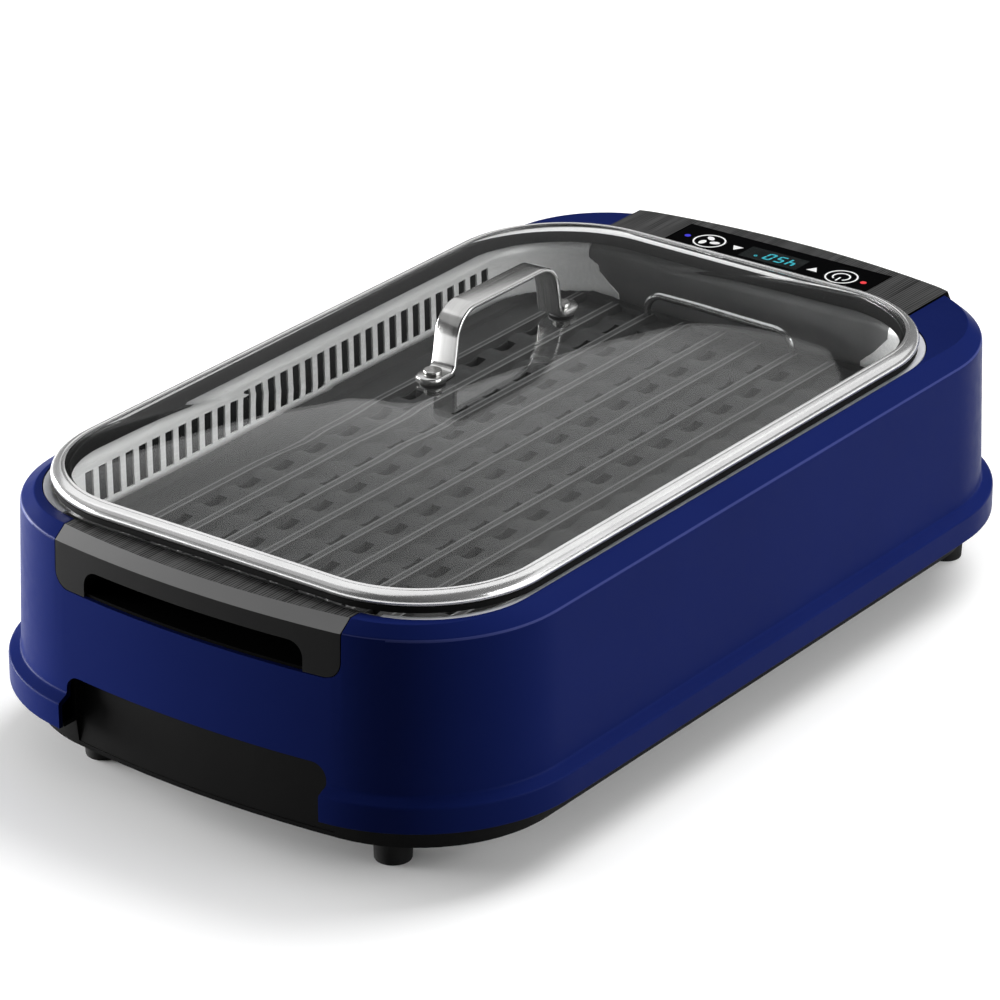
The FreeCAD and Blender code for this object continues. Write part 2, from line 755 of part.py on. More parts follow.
def power_inlet():
    body, lip = inlet_frame(0.0)
    z = z_deck - INLET_DROP
    face = wall_x(z)
    half_w = INLET_WIDTH / 2 - INLET_WALL
    half_h = INLET_HEIGHT / 2 - INLET_WALL
    back = face - INLET_DEPTH + INLET_WALL
    cavity = box(back, face + cut_over, -half_w, half_w, z - half_h, z + half_h)
    pins = []
    for i in (-1, 0, 1):
        y = i * INLET_PIN_SPACING
        rise = INLET_PIN_HEIGHT if i else -INLET_PIN_HEIGHT
        pins.append(box(back - INLET_WALL / 2, face - INLET_PIN_DROP, y - INLET_PIN_WIDTH / 2,
                        y + INLET_PIN_WIDTH / 2, z - INLET_PIN_HEIGHT / 2 - rise / 4,
                        z + INLET_PIN_HEIGHT / 2 - rise / 4))
    return join([join([body, lip]).cut(cavity)] + pins)


def inner_tub():
    """Wall of the tub with a rolled upper edge, vent windows and rests for the plate."""
    out = TUB_LEDGE - SEAM_GAP
    bend = min(TUB_BEND, out - FIT_GAP)
    low = z_tub + TUB_WALL
    wall = [(0.0, low, 0), (TUB_WALL, low, 0), (TUB_WALL, z_ledge - TUB_WALL, bend - TUB_WALL),
            (out, z_ledge - TUB_WALL, 0), (out, z_ledge, 0), (0.0, z_ledge, bend)]
    tub = ring(-TUB_LEDGE, OPENING_CORNER_R, wall)
    rests = []
    z_rest = z_plate - SEAT_GAP
    into = TUB_WALL / 2
    spans = ((tub_near - into, tub_near + REST_DEPTH), (tub_far - REST_DEPTH, tub_far + into))
    for x0, x1 in spans:
        rests.append(box(x0, x1, -REST_WIDTH / 2, REST_WIDTH / 2, z_rest - REST_THICKNESS, z_rest))
    tub = join([tub] + rests)
    half = slot_places()[-1] - open_x + VENT_SLOT_WIDTH / 2 + WINDOW_MARGIN
    z_top = z_vent - VENT_SLOT_DROP + cut_over
    z_low = z_top - VENT_SLOT_HEIGHT - 2 * cut_over
    window = box(open_x - half, open_x + half, -beyond, beyond, z_low, z_top)
    return tub.cut(window)


def tub_floor():
    """Floor plate under the tub's wall, with the bosses that stand on the base's pillars."""
    low = z_tub
    floor = slab(opening_wire(TUB_WALL - TUB_LEDGE, low), TUB_WALL)
    bosses = [rod(x, y, low - SCREW_GRIP, low + TUB_WALL, BOSS_D / 2) for x, y in pillar_places()]
    bores = [rod(x, y, low - SCREW_GRIP - cut_over, low, SCREW_D / 2) for x, y in pillar_places()]
    return join([floor] + bosses).cut(bores)


def slot_places():
    """Middle of each vent slot along the straight part of the long edge."""
    straight = 2 * (open_half_length - OPENING_CORNER_R)
    count = int(straight / VENT_SLOT_PITCH) + 1
    return [open_x + (i - (count - 1) / 2) * VENT_SLOT_PITCH for i in range(count)]


def vent_panel(side):
    """Slotted sheet that hangs over the tub's long edge and wraps its corners."""
    out = TUB_LEDGE - SEAM_GAP
    bend = min(TUB_BEND, out - FIT_GAP)
    sheet = VENT_SHEET
    gap = FIT_GAP
    low = z_vent - VENT_DEPTH
    profile = [(-gap, low, 0), (-gap, z_ledge, bend + gap), (out, z_ledge, 0), (out, z_vent, 0),
               (-gap - sheet, z_vent, bend + gap + sheet), (-gap - sheet, low, 0)]
    panel = ring(-TUB_LEDGE, OPENING_CORNER_R, profile)
    y_end = open_half_width - TUB_LEDGE - VENT_END_LENGTH
    lean_top = z_vent - VENT_SLOT_DROP
    lean_low = lean_top - VENT_END_LEAN
    cut = Part.makePolygon([V(-beyond, -beyond, -beyond), V(-beyond, y_end - VENT_END_LEAN, -beyond),
                            V(-beyond, y_end - VENT_END_LEAN, lean_low), V(-beyond, y_end, lean_top),
                            V(-beyond, y_end, beyond), V(-beyond, -beyond, beyond),
                            V(-beyond, -beyond, -beyond)])
    panel = panel.cut(Part.Face(cut).extrude(V(2 * beyond, 0, 0)))
    z_top = z_vent - VENT_SLOT_DROP
    slots = []
    for x in slot_places():
        slots.append(box(x - VENT_SLOT_WIDTH / 2, x + VENT_SLOT_WIDTH / 2, 0, beyond,
                         z_top - VENT_SLOT_HEIGHT, z_top))
    panel = panel.cut(slots)
    if side > 0:
        return panel
    return panel.mirror(V(0, 0, 0), V(0, 1, 0))


def rib_places():
    """Middle of each rib across the plate, with one rib on the middle line."""
    field = open_half_width - TUB_LEDGE - PLATE_GAP - PLATE_BORDER
    side = int((field - RIB_PITCH + RIB_WIDTH) / RIB_PITCH)
    return [i * RIB_PITCH for i in range(-side, side + 1)]


def clamp_feet():
    """Where the clamp bars are screwed to the plate."""
    y = element_side() + ELEMENT_DIAMETER / 2 + CLAMP_WIDTH / 2 + CLAMP_GAP
    x = element_near() + CLAMP_END_MARGIN
    return [(x + i * CLAMP_PITCH, side * y) for i in (0, 1) for side in (1, -1)]


def grill_plate():
    out = -TUB_LEDGE - PLATE_GAP
    body = slab(opening_wire(out, z_plate), PLATE_THICKNESS)
    inner = opening_wire(out - PLATE_BORDER, z_channel)
    border = slab(opening_wire(out, z_channel), PLATE_BORDER_RISE).cut(slab(inner, PLATE_BORDER_RISE))
    field = slab(inner, RIB_HEIGHT)
    ribs = []
    for y in rib_places():
        rib = box(open_near, open_far, y - RIB_WIDTH / 2, y + RIB_WIDTH / 2, z_channel, z_rib)
        ribs.append(rib.common(field))
    plate = join([body, border] + ribs)
    holes = []
    usable = open_half_length - TUB_LEDGE - PLATE_GAP - PLATE_BORDER - HOLE_PITCH / 2
    count = 2 * int(usable / HOLE_PITCH + 0.5)
    channels = [y + RIB_PITCH / 2 for y in rib_places()[:-1]]
    for j, y in enumerate(channels):
        y_hole = y + (HOLE_OFFSET if j % 2 else -HOLE_OFFSET)
        for i in range(count):
            x = open_x + (i - (count - 1) / 2) * HOLE_PITCH
            holes.append(box(x - HOLE_LENGTH / 2, x + HOLE_LENGTH / 2, y_hole - HOLE_WIDTH / 2,
                             y_hole + HOLE_WIDTH / 2, z_plate - cut_over, z_channel + cut_over))
    z_tip = z_plate + PLATE_THICKNESS / 2
    bores = [rod(x, y, z_plate - cut_over, z_tip, SCREW_D / 2) for x, y in clamp_feet()]
    return plate.cut(holes + bores)


def plate_bail(end):
    """Wire loop standing on the plate near one end."""
    x = open_x + end * (open_half_length - TUB_LEDGE - PLATE_GAP - BAIL_INSET)
    half = BAIL_RIB * RIB_PITCH
    z_foot = z_rib
    z_top = z_rib + BAIL_HEIGHT - BAIL_WIRE / 2
    points = [V(x, half, z_foot), V(x, half, z_top), V(x, -half, z_top), V(x, -half, z_foot)]
    return bent_rod(points, BAIL_WIRE / 2, BAIL_BEND_R)


def element_level():
    return z_plate - ELEMENT_GAP - ELEMENT_DIAMETER / 2


def element_near():
    return tub_near + ELEMENT_END_MARGIN


def element_side():
    """Middle of the outermost run of the element."""
    return open_half_width - TUB_LEDGE - PLATE_GAP - ELEMENT_SIDE_MARGIN


def heating_element():
    """Tubular element with evenly spaced runs, and both ends led into the plug."""
    near = element_near()
    lead = plug_near - ELEMENT_LEAD
    turn = lead - ELEMENT_LOOP_GAP
    end = PLUG_PIN_SPACING / 2
    outer = element_side()
    pitch = 2 * outer / (ELEMENT_RUNS - 1)
    middle = outer - pitch
    inner = middle - pitch
    bend = min(ELEMENT_BEND_R, (pitch - cut_over) / 2)
    half = [(plug_near, end), (lead, end), (lead, outer), (near, outer), (near, middle), (turn, middle),
            (turn, inner), (near, inner)]
    route = half + [(x, -y) for x, y in reversed(half)]
    z = element_level()
    return bent_rod([V(x, y, z) for x, y in route], ELEMENT_DIAMETER / 2, bend)


def clamp_level():
    """Upper face of the clamp bars."""
    return element_level() - ELEMENT_DIAMETER / 2 - ELEMENT_GAP


def element_clamps():
    """Flat bars under the element, bent up to the plate at both ends."""
    z_bar = clamp_level()
    feet = clamp_feet()
    bars = []
    half = CLAMP_WIDTH / 2
    for left, right in zip(feet[0::2], feet[1::2]):
        x = left[0]
        bar = box(x - half, x + half, right[1] - half, left[1] + half, z_bar - CLAMP_THICKNESS, z_bar)
        ends = [box(x - half, x + half, y - half, y + half, z_bar - CLAMP_THICKNESS, z_plate)
                for y in (left[1], right[1])]
        bars.append(join([bar] + ends))
    bores = [rod(x, y, z_bar - beyond, z_plate + cut_over, SCREW_D / 2) for x, y in feet]
    return Part.makeCompound([bar.cut(bores) for bar in bars])


def clamp_screws():
    z_bar = clamp_level() - CLAMP_THICKNESS
    length = z_plate + PLATE_THICKNESS / 2 - z_bar
    return Part.makeCompound([screw(x, y, z_bar - SCREW_HEAD_H, length) for x, y in clamp_feet()])


def element_plug():
    return box(plug_near, plug_far, -PLUG_WIDTH / 2, PLUG_WIDTH / 2, z_plate - PLUG_HEIGHT, z_plate)


def plug_pins():
    z = z_plate - PLUG_HEIGHT
    half = PLUG_PIN_SPACING / 2
    radius = PLUG_PIN_DIAMETER / 2
    z_tip = z_tub + TUB_WALL + SOCKET_FLOOR + PLUG_PIN_TIP_GAP
    return Part.makeCompound([rod(plug_x, y, z_tip, z, radius) for y in (half, -half)])


def element_socket():
    z_low = z_tub + TUB_WALL
    z_top = z_plate - PLUG_HEIGHT - SOCKET_GAP
    body = box(plug_near, plug_far, -PLUG_WIDTH / 2, PLUG_WIDTH / 2, z_low, z_top)
    half = PLUG_PIN_SPACING / 2
    radius = PLUG_PIN_DIAMETER / 2 + SOCKET_BORE_GAP
    bores = [rod(plug_x, y, z_low + SOCKET_FLOOR, z_top + cut_over, radius)
             for y in (half, -half)]
    return body.cut(bores)


def drip_tray():
    x0 = tub_near + REST_DEPTH + TRAY_END_GAP
    x1 = plug_near - TRAY_SOCKET_GAP
    half = open_half_width - TUB_LEDGE - TRAY_SIDE_GAP
    z = z_tub + TUB_WALL + SEAT_GAP
    height = clamp_level() - CLAMP_THICKNESS - SCREW_HEAD_H - TRAY_TOP_GAP - z
    lip = TRAY_LIP
    wall = TRAY_WALL
    r = TRAY_CORNER_R
    outer = slab(rectangle(x0 + lip, x1 - lip, -half + lip, half - lip, r - lip, z), height)
    rim = slab(rectangle(x0, x1, -half, half, r, z + height - wall), wall)
    inset = lip + wall
    floor = rectangle(x0 + inset, x1 - inset, -half + inset, half - inset, r - inset, z + wall)
    hollow = slab(floor, height)
    return join([outer, rim]).cut(hollow)


def volute(gap, z0, z1):
    """Plan of the fan's volute and outlet duct, drawn in by gap."""
    radius = IMPELLER_R + VOLUTE_GAP + VOLUTE_WALL - gap
    drum = rod(FAN_X, 0, z0, z1, radius)
    duct = box(FAN_X, duct_end - gap, -radius, -radius + DUCT_WIDTH - 2 * gap, z0, z1)
    return join([drum, duct])


def fan_housing():
    top = z_volute
    shell = volute(0.0, z_floor, top).cut(volute(VOLUTE_WALL, z_floor, top - VOLUTE_WALL))
    return shell.cut(rod(FAN_X, 0, z_floor, top + cut_over, EYE_R))


def fan_guard():
    """Ring grille over the fan's eye."""
    z = z_volute
    step = EYE_R / (GUARD_RING_COUNT + 0.5)
    pieces = []
    for i in range(GUARD_RING_COUNT):
        r = EYE_R + GUARD_BAR - i * step
        hole = rod(FAN_X, 0, z, z + GUARD_BAR, r - GUARD_BAR)
        pieces.append(rod(FAN_X, 0, z, z + GUARD_BAR, r).cut(hole))
    reach = EYE_R + GUARD_BAR
    inner = EYE_R - (GUARD_RING_COUNT - 1) * step
    for i in range(4):
        bar = box(inner, reach - GUARD_BAR / 2, -GUARD_BAR / 2, GUARD_BAR / 2, z, z + GUARD_BAR)
        bar.rotate(V(0, 0, 0), UP, 45 + 90 * i)
        bar.translate(V(FAN_X, 0, 0))
        pieces.append(bar)
    return join(pieces)


def fan_motor():
    z_top = z_blade + BLADE_HEIGHT / 2
    body = rod(FAN_X, 0, z_floor, z_floor + MOTOR_HEIGHT, MOTOR_R)
    return join([body, rod(FAN_X, 0, z_floor, z_top, SHAFT_R)])


def fan_impeller():
    z_hub = z_blade + BLADE_HEIGHT / 2 + cut_over
    pieces = [rod(FAN_X, 0, z_disc, z_blade, IMPELLER_R), rod(FAN_X, 0, z_disc, z_hub, HUB_R)]
    reach = IMPELLER_R - IMPELLER_EYE_R - BLADE_THICKNESS
    half = BLADE_THICKNESS / 2
    for i in range(BLADE_COUNT):
        blade = box(0, reach, -half, half, z_blade - IMPELLER_DISC / 2, z_shroud)
        blade.rotate(V(0, 0, 0), UP, BLADE_LEAN)
        blade.translate(V(IMPELLER_EYE_R, 0, 0))
        blade.rotate(V(0, 0, 0), UP, 360.0 * i / BLADE_COUNT)
        blade.translate(V(FAN_X, 0, 0))
        pieces.append(blade)
    shroud = rod(FAN_X, 0, z_shroud - IMPELLER_DISC / 2, z_shroud, IMPELLER_R)
    pieces.append(shroud.cut(rod(FAN_X, 0, z_blade, z_shroud + cut_over, IMPELLER_EYE_R)))
    return join(pieces).cut(rod(FAN_X, 0, z_floor, z_shroud, SHAFT_R + SHAFT_GAP))


def glass_edge():
    """How far the glass edge lies inside the lid's outline."""
    return RIM_SHEET * 2 + GLASS_EDGE_GAP


def dome_reach():
    """Distance from the glass edge inwards to the level crown, which carries the handle's tabs."""
    across = open_half_width - glass_edge() - GLASS_FLAT
    along = open_half_length - glass_edge() - HANDLE_SPAN / 2 - HANDLE_TAB
    return min(across, along)


def dome_height(inward):
    """Rise of the glass above its edge at a distance inwards from that edge."""
    share = min(inward / (dome_reach() + GLASS_EDGE_GAP), 1.0)
    return GLASS_RISE * (1 - (1 - share) ** 2)


def dome(z):
    """Solid under the dome, with its straight edge one glass thickness high."""
    edge = glass_edge()
    reach = dome_reach()
    half = open_half_width - edge
    sections = []
    for i in range(GLASS_STEPS + 1):
        inward = reach * i / GLASS_STEPS
        corner = min(LID_CORNER_R - edge - GLASS_CORNER_EASE * inward, half - inward - GLASS_CROWN_FLAT)
        x0 = open_near + edge + inward
        x1 = open_far - edge - inward
        sections.append(rectangle(x0, x1, -half + inward, half - inward, corner, z + dome_height(inward)))
    steps = [taper(a, b) for a, b in zip(sections, sections[1:])]
    skirt = slab(sections[0], -GLASS_THICKNESS)
    return join(steps + [skirt])


def lid_screw_places():
    dx = HANDLE_SPAN / 2 + HANDLE_TAB / 2
    return [(open_x + dx, 0.0), (open_x - dx, 0.0)]


def lid_glass():
    glass = dome(z_glass).cut(dome(z_glass - GLASS_THICKNESS))
    return glass.cut([rod(x, y, 0, beyond, LID_SCREW_D / 2 + 2 * FIT_GAP) for x, y in lid_screw_places()])


def lid_rim():
    """Steel channel round the glass, whose upper leg leans with the glass."""
    step = dome_reach() / GLASS_STEPS
    slope = dome_height(step) / step
    edge = -RIM_SHEET * 2
    z_out = z_glass + RIM_SHEET
    z_in = z_glass + slope * (RIM_WIDTH + edge) + RIM_SHEET
    under = GLASS_EDGE_GAP / 2
    profile = [(0.0, z_rim, 0), (0.0, z_out, RIM_EDGE_R), (-RIM_WIDTH, z_in, 0),
               (-RIM_WIDTH, z_in - RIM_SHEET + under, 0), (edge, z_glass + under, 0),
               (edge, z_rim + RIM_SHEET, 0), (-RIM_FOOT, z_rim + RIM_SHEET, 0), (-RIM_FOOT, z_rim, 0)]
    return ring(0.0, LID_CORNER_R, profile)


def lid_seal():
    profile = [(-SEAL_OUTER, z_seal, 1.0), (-SEAL_OUTER, z_rim, 0), (-SEAL_INNER, z_rim, 0),
               (-SEAL_INNER, z_seal, 1.0)]
    return ring(0.0, LID_CORNER_R, profile)


def lid_handle():
    """Bent steel strap with a screwed tab at each end."""
    z_foot = z_dome + WASHER_THICKNESS + HANDLE_THICKNESS / 2
    z_top = z_dome + HANDLE_HEIGHT + WASHER_THICKNESS - HANDLE_THICKNESS / 2
    leg = HANDLE_SPAN / 2
    tab = leg + HANDLE_TAB
    half = [(tab, z_foot), (leg, z_foot), (leg - HANDLE_LEAN, z_top)]
    route = [(-x, z) for x, z in half] + [(x, z) for x, z in reversed(half)]
    points = [V(open_x + x, 0, z) for x, z in route]
    radii = [HANDLE_FOOT_R, HANDLE_BEND_R, HANDLE_BEND_R, HANDLE_FOOT_R]
    path = bent_path(points, radii)
    w = HANDLE_WIDTH / 2
    t = HANDLE_THICKNESS / 2
    x = points[0].x
    section = Part.makePolygon([V(x, -w, z_foot - t), V(x, w, z_foot - t), V(x, w, z_foot + t),
                                V(x, -w, z_foot + t), V(x, -w, z_foot - t)])
    strap = path.makePipeShell([section], True, False)
    return strap.cut([rod(px, py, 0, beyond, LID_SCREW_D / 2 + FIT_GAP) for px, py in lid_screw_places()])


def lid_washers():
    """A soft washer above and below the glass at each screw."""
    washers = []
    for x, y in lid_screw_places():
        for z in (z_dome, z_dome - GLASS_THICKNESS - WASHER_THICKNESS):
            washer = rod(x, y, z, z + WASHER_THICKNESS, WASHER_D / 2)
            washers.append(washer.cut(rod(x, y, z - cut_over, z + beyond, LID_SCREW_D / 2 + FIT_GAP)))
    return Part.makeCompound(washers)


def lid_screws():
    z_head = z_dome + WASHER_THICKNESS + HANDLE_THICKNESS
    z_tip = z_dome - GLASS_THICKNESS - WASHER_THICKNESS - LID_NUT_H
    screws = []
    for x, y in lid_screw_places():
        head = rod(x, y, z_head, z_head + LID_SCREW_HEAD_H, LID_SCREW_HEAD_D / 2)
        screws.append(join([head, rod(x, y, z_tip, z_head, LID_SCREW_D / 2)]))
    return Part.makeCompound(screws)


def lid_nuts():
    z = z_dome - GLASS_THICKNESS - WASHER_THICKNESS - LID_NUT_H
    nuts = []
    for x, y in lid_screw_places():
        corners = []
        for i in range(7):
            angle = math.pi * i / 3
            corners.append(V(x + LID_NUT_D / 2 * math.cos(angle), y + LID_NUT_D / 2 * math.sin(angle), z))
        nut = Part.Face(Part.makePolygon(corners)).extrude(V(0, 0, LID_NUT_H))
        nuts.append(nut.cut(rod(x, y, z - cut_over, z + beyond, LID_SCREW_D / 2)))
    return Part.makeCompound(nuts)


def main():
    os.makedirs("parts", exist_ok=True)
    nodes = {
        "outer_shell": outer_shell(),
        "base_pan": base_pan(),
        "foot_screws": foot_screws(),
        "base_screws": base_screws(),
        "tub_screws": tub_screws(),
        "front_grip": front_grip(),
        "control_panel": control_panel(),
        "display_glass": display_glass(),
        "display_module": display_module(),
        "control_board": control_board(),
        "power_inlet": power_inlet(),
        "inner_tub": inner_tub(),
        "tub_floor": tub_floor(),
        "vent_panel_left": vent_panel(1),
        "vent_panel_right": vent_panel(-1),
        "element_socket": element_socket(),
        "fan_housing": fan_housing(),
        "fan_guard": fan_guard(),
        "fan_motor": fan_motor(),
        "fan_impeller": fan_impeller(),
        "drip_tray": drip_tray(),
        "grill_plate": grill_plate(),
        "plate_bail_near": plate_bail(-1),
        "plate_bail_far": plate_bail(1),
        "heating_element": heating_element(),
        "element_clamps": element_clamps(),
        "clamp_screws": clamp_screws(),
        "element_plug": element_plug(),
        "plug_pins": plug_pins(),
        "lid_glass": lid_glass(),
        "lid_rim": lid_rim(),
        "lid_seal": lid_seal(),
        "lid_handle": lid_handle(),
        "lid_washers": lid_washers(),
        "lid_screws": lid_screws(),
        "lid_nuts": lid_nuts(),
    }
    for name, (x, y) in foot_places().items():
        nodes[name] = foot(x, y)
    for name, shape in nodes.items():
        save(name, shape)


main()
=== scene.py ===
"""Finished look of a smokeless indoor grill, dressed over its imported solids.

Tables and helpers work in millimetres of the design plan; metres() turns them into the shared frame.
"""
import math

import bmesh
import bpy
import numpy as np
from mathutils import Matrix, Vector


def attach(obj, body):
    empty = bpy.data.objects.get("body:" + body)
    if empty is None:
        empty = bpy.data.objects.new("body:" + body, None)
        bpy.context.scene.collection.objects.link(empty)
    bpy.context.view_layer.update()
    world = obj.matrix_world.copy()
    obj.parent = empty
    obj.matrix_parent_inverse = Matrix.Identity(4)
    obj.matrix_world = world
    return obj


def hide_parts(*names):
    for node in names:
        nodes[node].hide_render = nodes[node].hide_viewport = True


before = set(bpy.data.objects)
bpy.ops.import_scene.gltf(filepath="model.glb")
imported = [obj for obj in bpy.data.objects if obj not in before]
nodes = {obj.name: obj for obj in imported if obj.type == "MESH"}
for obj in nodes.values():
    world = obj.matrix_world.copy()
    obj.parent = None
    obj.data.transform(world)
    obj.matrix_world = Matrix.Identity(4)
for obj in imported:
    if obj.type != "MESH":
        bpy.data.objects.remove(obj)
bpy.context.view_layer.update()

scene = bpy.context.scene

SHIFT_X = -2.529
QUARTER = math.pi / 2

# Points per end, corner and side of every outline, so that outlines can be lofted into each other
N_END, N_TURN, N_SIDE = 36, 22, 48

BODY_PLAN = (260.0, 151.5, 82.0, 19.5)
DECK_PLAN = (251.0, 136.8, 61.4, 19.5)
OPEN_NEAR, OPEN_FAR, OPEN_HALF, OPEN_R = -237.0, 203.0, 136.2, 58.0
OPEN_X = (OPEN_NEAR + OPEN_FAR) / 2
LID_R = 68.0

# Levels and sizes of the shown pieces
DECK_Z, NOTCH_Z = 132.4, 103.4
GLASS_EDGE_Z, GLASS_RISE, GLASS_THICK, GLASS_INSET, CROWN_HALF = 140.1, 26.5, 3.2, 1.4, 9.0
PLATE_Z, PLATE_FOOT_Z, RIB_HEIGHT, HUMP_HEIGHT = 103.0, 98.0, 4.0, 2.0
BORDER_WIDTH, BORDER_HEIGHT = 10.6, 2.0
TAB_Z, TAB_END, TAB_R = 169.1, 62.0, 7.0
GRIP_FACE_X, GRIP_BOW, HAND_HALF, HAND_TOP_Z = 257.3, 599.0, 65.0, 118.5

# Lowest levels at which a face counts as deck or as slope
DECK_FROM_Z, SLOPE_FROM_Z = 131.5, 126.0


def metres(points):
    p = np.asarray(points, float)
    return (p + np.array([SHIFT_X, 0.0, 0.0])) * 0.001


# Outlines and lofts

def arc(cx, cy, r, a0, a1, n):
    t = np.linspace(a0, a1, n, endpoint=False)
    return np.c_[cx + r * np.cos(t), cy + r * np.sin(t)]


def run(x0, y0, x1, y1, n):
    t = np.linspace(0.0, 1.0, n, endpoint=False)
    return np.c_[x0 + (x1 - x0) * t, y0 + (y1 - y0) * t]


def bowed(plan, off=0.0):
    """Rounded rectangle with bowed ends, moved outwards by off."""
    a, b, r, bow = plan
    big = (b * b + bow * bow) / (2 * bow)
    ex = a - big
    cy = b - r
    cx = ex + math.sqrt((big - r) ** 2 - cy ** 2)
    t = math.atan2(cy, cx - ex)
    parts = []
    for s, face in ((1, 0.0), (-1, math.pi)):
        parts.append(arc(s * ex, 0, big + off, face - t, face + t, N_END))
        parts.append(arc(s * cx, s * cy, r + off, face + t, face + QUARTER, N_TURN))
        parts.append(run(s * cx, s * (b + off), -s * cx, s * (b + off), N_SIDE))
        parts.append(arc(-s * cx, s * cy, r + off, face + QUARTER, face + math.pi - t, N_TURN))
    return np.vstack(parts)


def rect(x0, x1, b, r, off=0.0):
    """Rounded rectangle about the X axis, moved outwards by off."""
    x0, x1, b, r = x0 - off, x1 + off, b + off, r + off
    parts = []
    for s, face in ((1, 0.0), (-1, math.pi)):
        xa, xb = (x1, x0) if s > 0 else (x0, x1)
        parts.append(run(xa, -s * (b - r), xa, s * (b - r), N_END))
        parts.append(arc(xa - s * r, s * (b - r), r, face, face + QUARTER, N_TURN))
        parts.append(run(xa - s * r, s * b, xb + s * r, s * b, N_SIDE))
        parts.append(arc(xb + s * r, s * (b - r), r, face + QUARTER, face + math.pi, N_TURN))
    return np.vstack(parts)


def at(outline, z):
    return np.c_[outline, np.full(len(outline), float(z))]


def eased(levels, radii, steps=4):
    """Closed profile of outlines with each edge rounded back by its radius."""
    out = []
    count = len(levels)
    for i, (ring, r) in enumerate(zip(levels, radii)):
        if r <= 0:
            out.append(ring)
            continue
        a = levels[i - 1] - ring
        b = levels[(i + 1) % count] - ring
        ka = np.minimum(r / np.linalg.norm(a, axis=1), 0.45)[:, None]
        kb = np.minimum(r / np.linalg.norm(b, axis=1), 0.45)[:, None]
        p0, p2 = ring + a * ka, ring + b * kb
        for t in np.linspace(0.0, 1.0, steps + 1):
            out.append((1 - t) ** 2 * p0 + 2 * t * (1 - t) * ring + t * t * p2)
    return out


def loft_faces(count, n, closed):
    faces = []
    for i in range(count if closed else count - 1):
        k = (i + 1) % count
        for j in range(n):
            m = (j + 1) % n
            faces.append((i * n + j, i * n + m, k * n + m, k * n + j))
    return faces


def mesh_object(name, points, faces, smooth):
    """Object from millimetre points, with outward faces and edges sharper than the angle left sharp."""
    mesh = bpy.data.meshes.new(name)
    mesh.from_pydata([tuple(p) for p in metres(points)], [], [tuple(f) for f in faces])
    bm = bmesh.new()
    bm.from_mesh(mesh)
    bmesh.ops.remove_doubles(bm, verts=bm.verts, dist=2e-6)
    bmesh.ops.dissolve_degenerate(bm, edges=bm.edges, dist=1e-6)
    bmesh.ops.recalc_face_normals(bm, faces=bm.faces)
    bm.to_mesh(mesh)
    bm.free()
    shade(mesh, smooth)
    obj = bpy.data.objects.new(name, mesh)
    scene.collection.objects.link(obj)
    return obj


def shade(mesh, angle):
    mesh.polygons.foreach_set("use_smooth", [True] * len(mesh.polygons))
    mesh.set_sharp_from_angle(angle=math.radians(angle))
    mesh.update()


def loft(name, rings, closed=True, caps=False, smooth=35.0):
    n = len(rings[0])
    faces = loft_faces(len(rings), n, closed)
    if caps:
        faces.append(tuple(range(n)))
        faces.append(tuple(range((len(rings) - 1) * n, len(rings) * n)))
    return mesh_object(name, np.vstack(rings), faces, smooth)


def corner_arc(p, before, after, r, steps):
    """Points of the arc that rounds the corner p between its neighbours."""
    a = (before - p) / np.linalg.norm(before - p)
    b = (after - p) / np.linalg.norm(after - p)
    half = math.acos(float(np.clip(a @ b, -1, 1))) / 2
    mid = (a + b) / np.linalg.norm(a + b)
    centre = p + mid * (r / math.sin(half))
    start = p + a * (r / math.tan(half)) - centre
    stop = p + b * (r / math.tan(half)) - centre
    s0, s1 = math.atan2(start[1], start[0]), math.atan2(stop[1], stop[0])
    turn = (s1 - s0 + math.pi) % (2 * math.pi) - math.pi
    return [centre + r * np.array([math.cos(s0 + turn * k), math.sin(s0 + turn * k)])
            for k in np.linspace(0, 1, steps + 1)]


def rounded_outline(corners, steps=8):
    """Closed flat outline through (u, v, radius) corners."""
    points = [np.array(c[:2], float) for c in corners]
    out = []
    for i, p in enumerate(points):
        r = corners[i][2]
        if r <= 0:
            out.append(p)
        else:
            out.extend(corner_arc(p, points[i - 1], points[(i + 1) % len(points)], r, steps))
    return np.array(out)


def prism_x(name, outline, x0, x1):
    """Solid between two planes across X with the (y, z) outline."""
    rings = [np.c_[np.full(len(outline), x), outline] for x in (x0, x1)]
    return loft(name, rings, closed=False, caps=True)


def carve(obj, cutters):
    """Cuts the cutters out of obj for good and deletes them."""
    for cutter in cutters:
        m = obj.modifiers.new("cut", "BOOLEAN")
        m.operation = "DIFFERENCE"
        m.solver = "EXACT"
        m.object = cutter
    dg = bpy.context.evaluated_depsgraph_get()
    result = bpy.data.meshes.new_from_object(obj.evaluated_get(dg))
    obj.modifiers.clear()
    old = obj.data
    obj.data = result
    bpy.data.meshes.remove(old)
    for cutter in cutters:
        bpy.data.objects.remove(cutter)
    bm = bmesh.new()
    bm.from_mesh(result)
    bmesh.ops.remove_doubles(bm, verts=bm.verts, dist=2e-6)
    bmesh.ops.dissolve_degenerate(bm, edges=bm.edges, dist=1e-6)
    bm.to_mesh(result)
    bm.free()
    shade(result, 35.0)


# Materials

def srgb(r, g, b):
    def lin(c):
        c /= 255.0
        return c / 12.92 if c <= 0.04045 else ((c + 0.055) / 1.055) ** 2.4
    return (lin(r), lin(g), lin(b), 1.0)


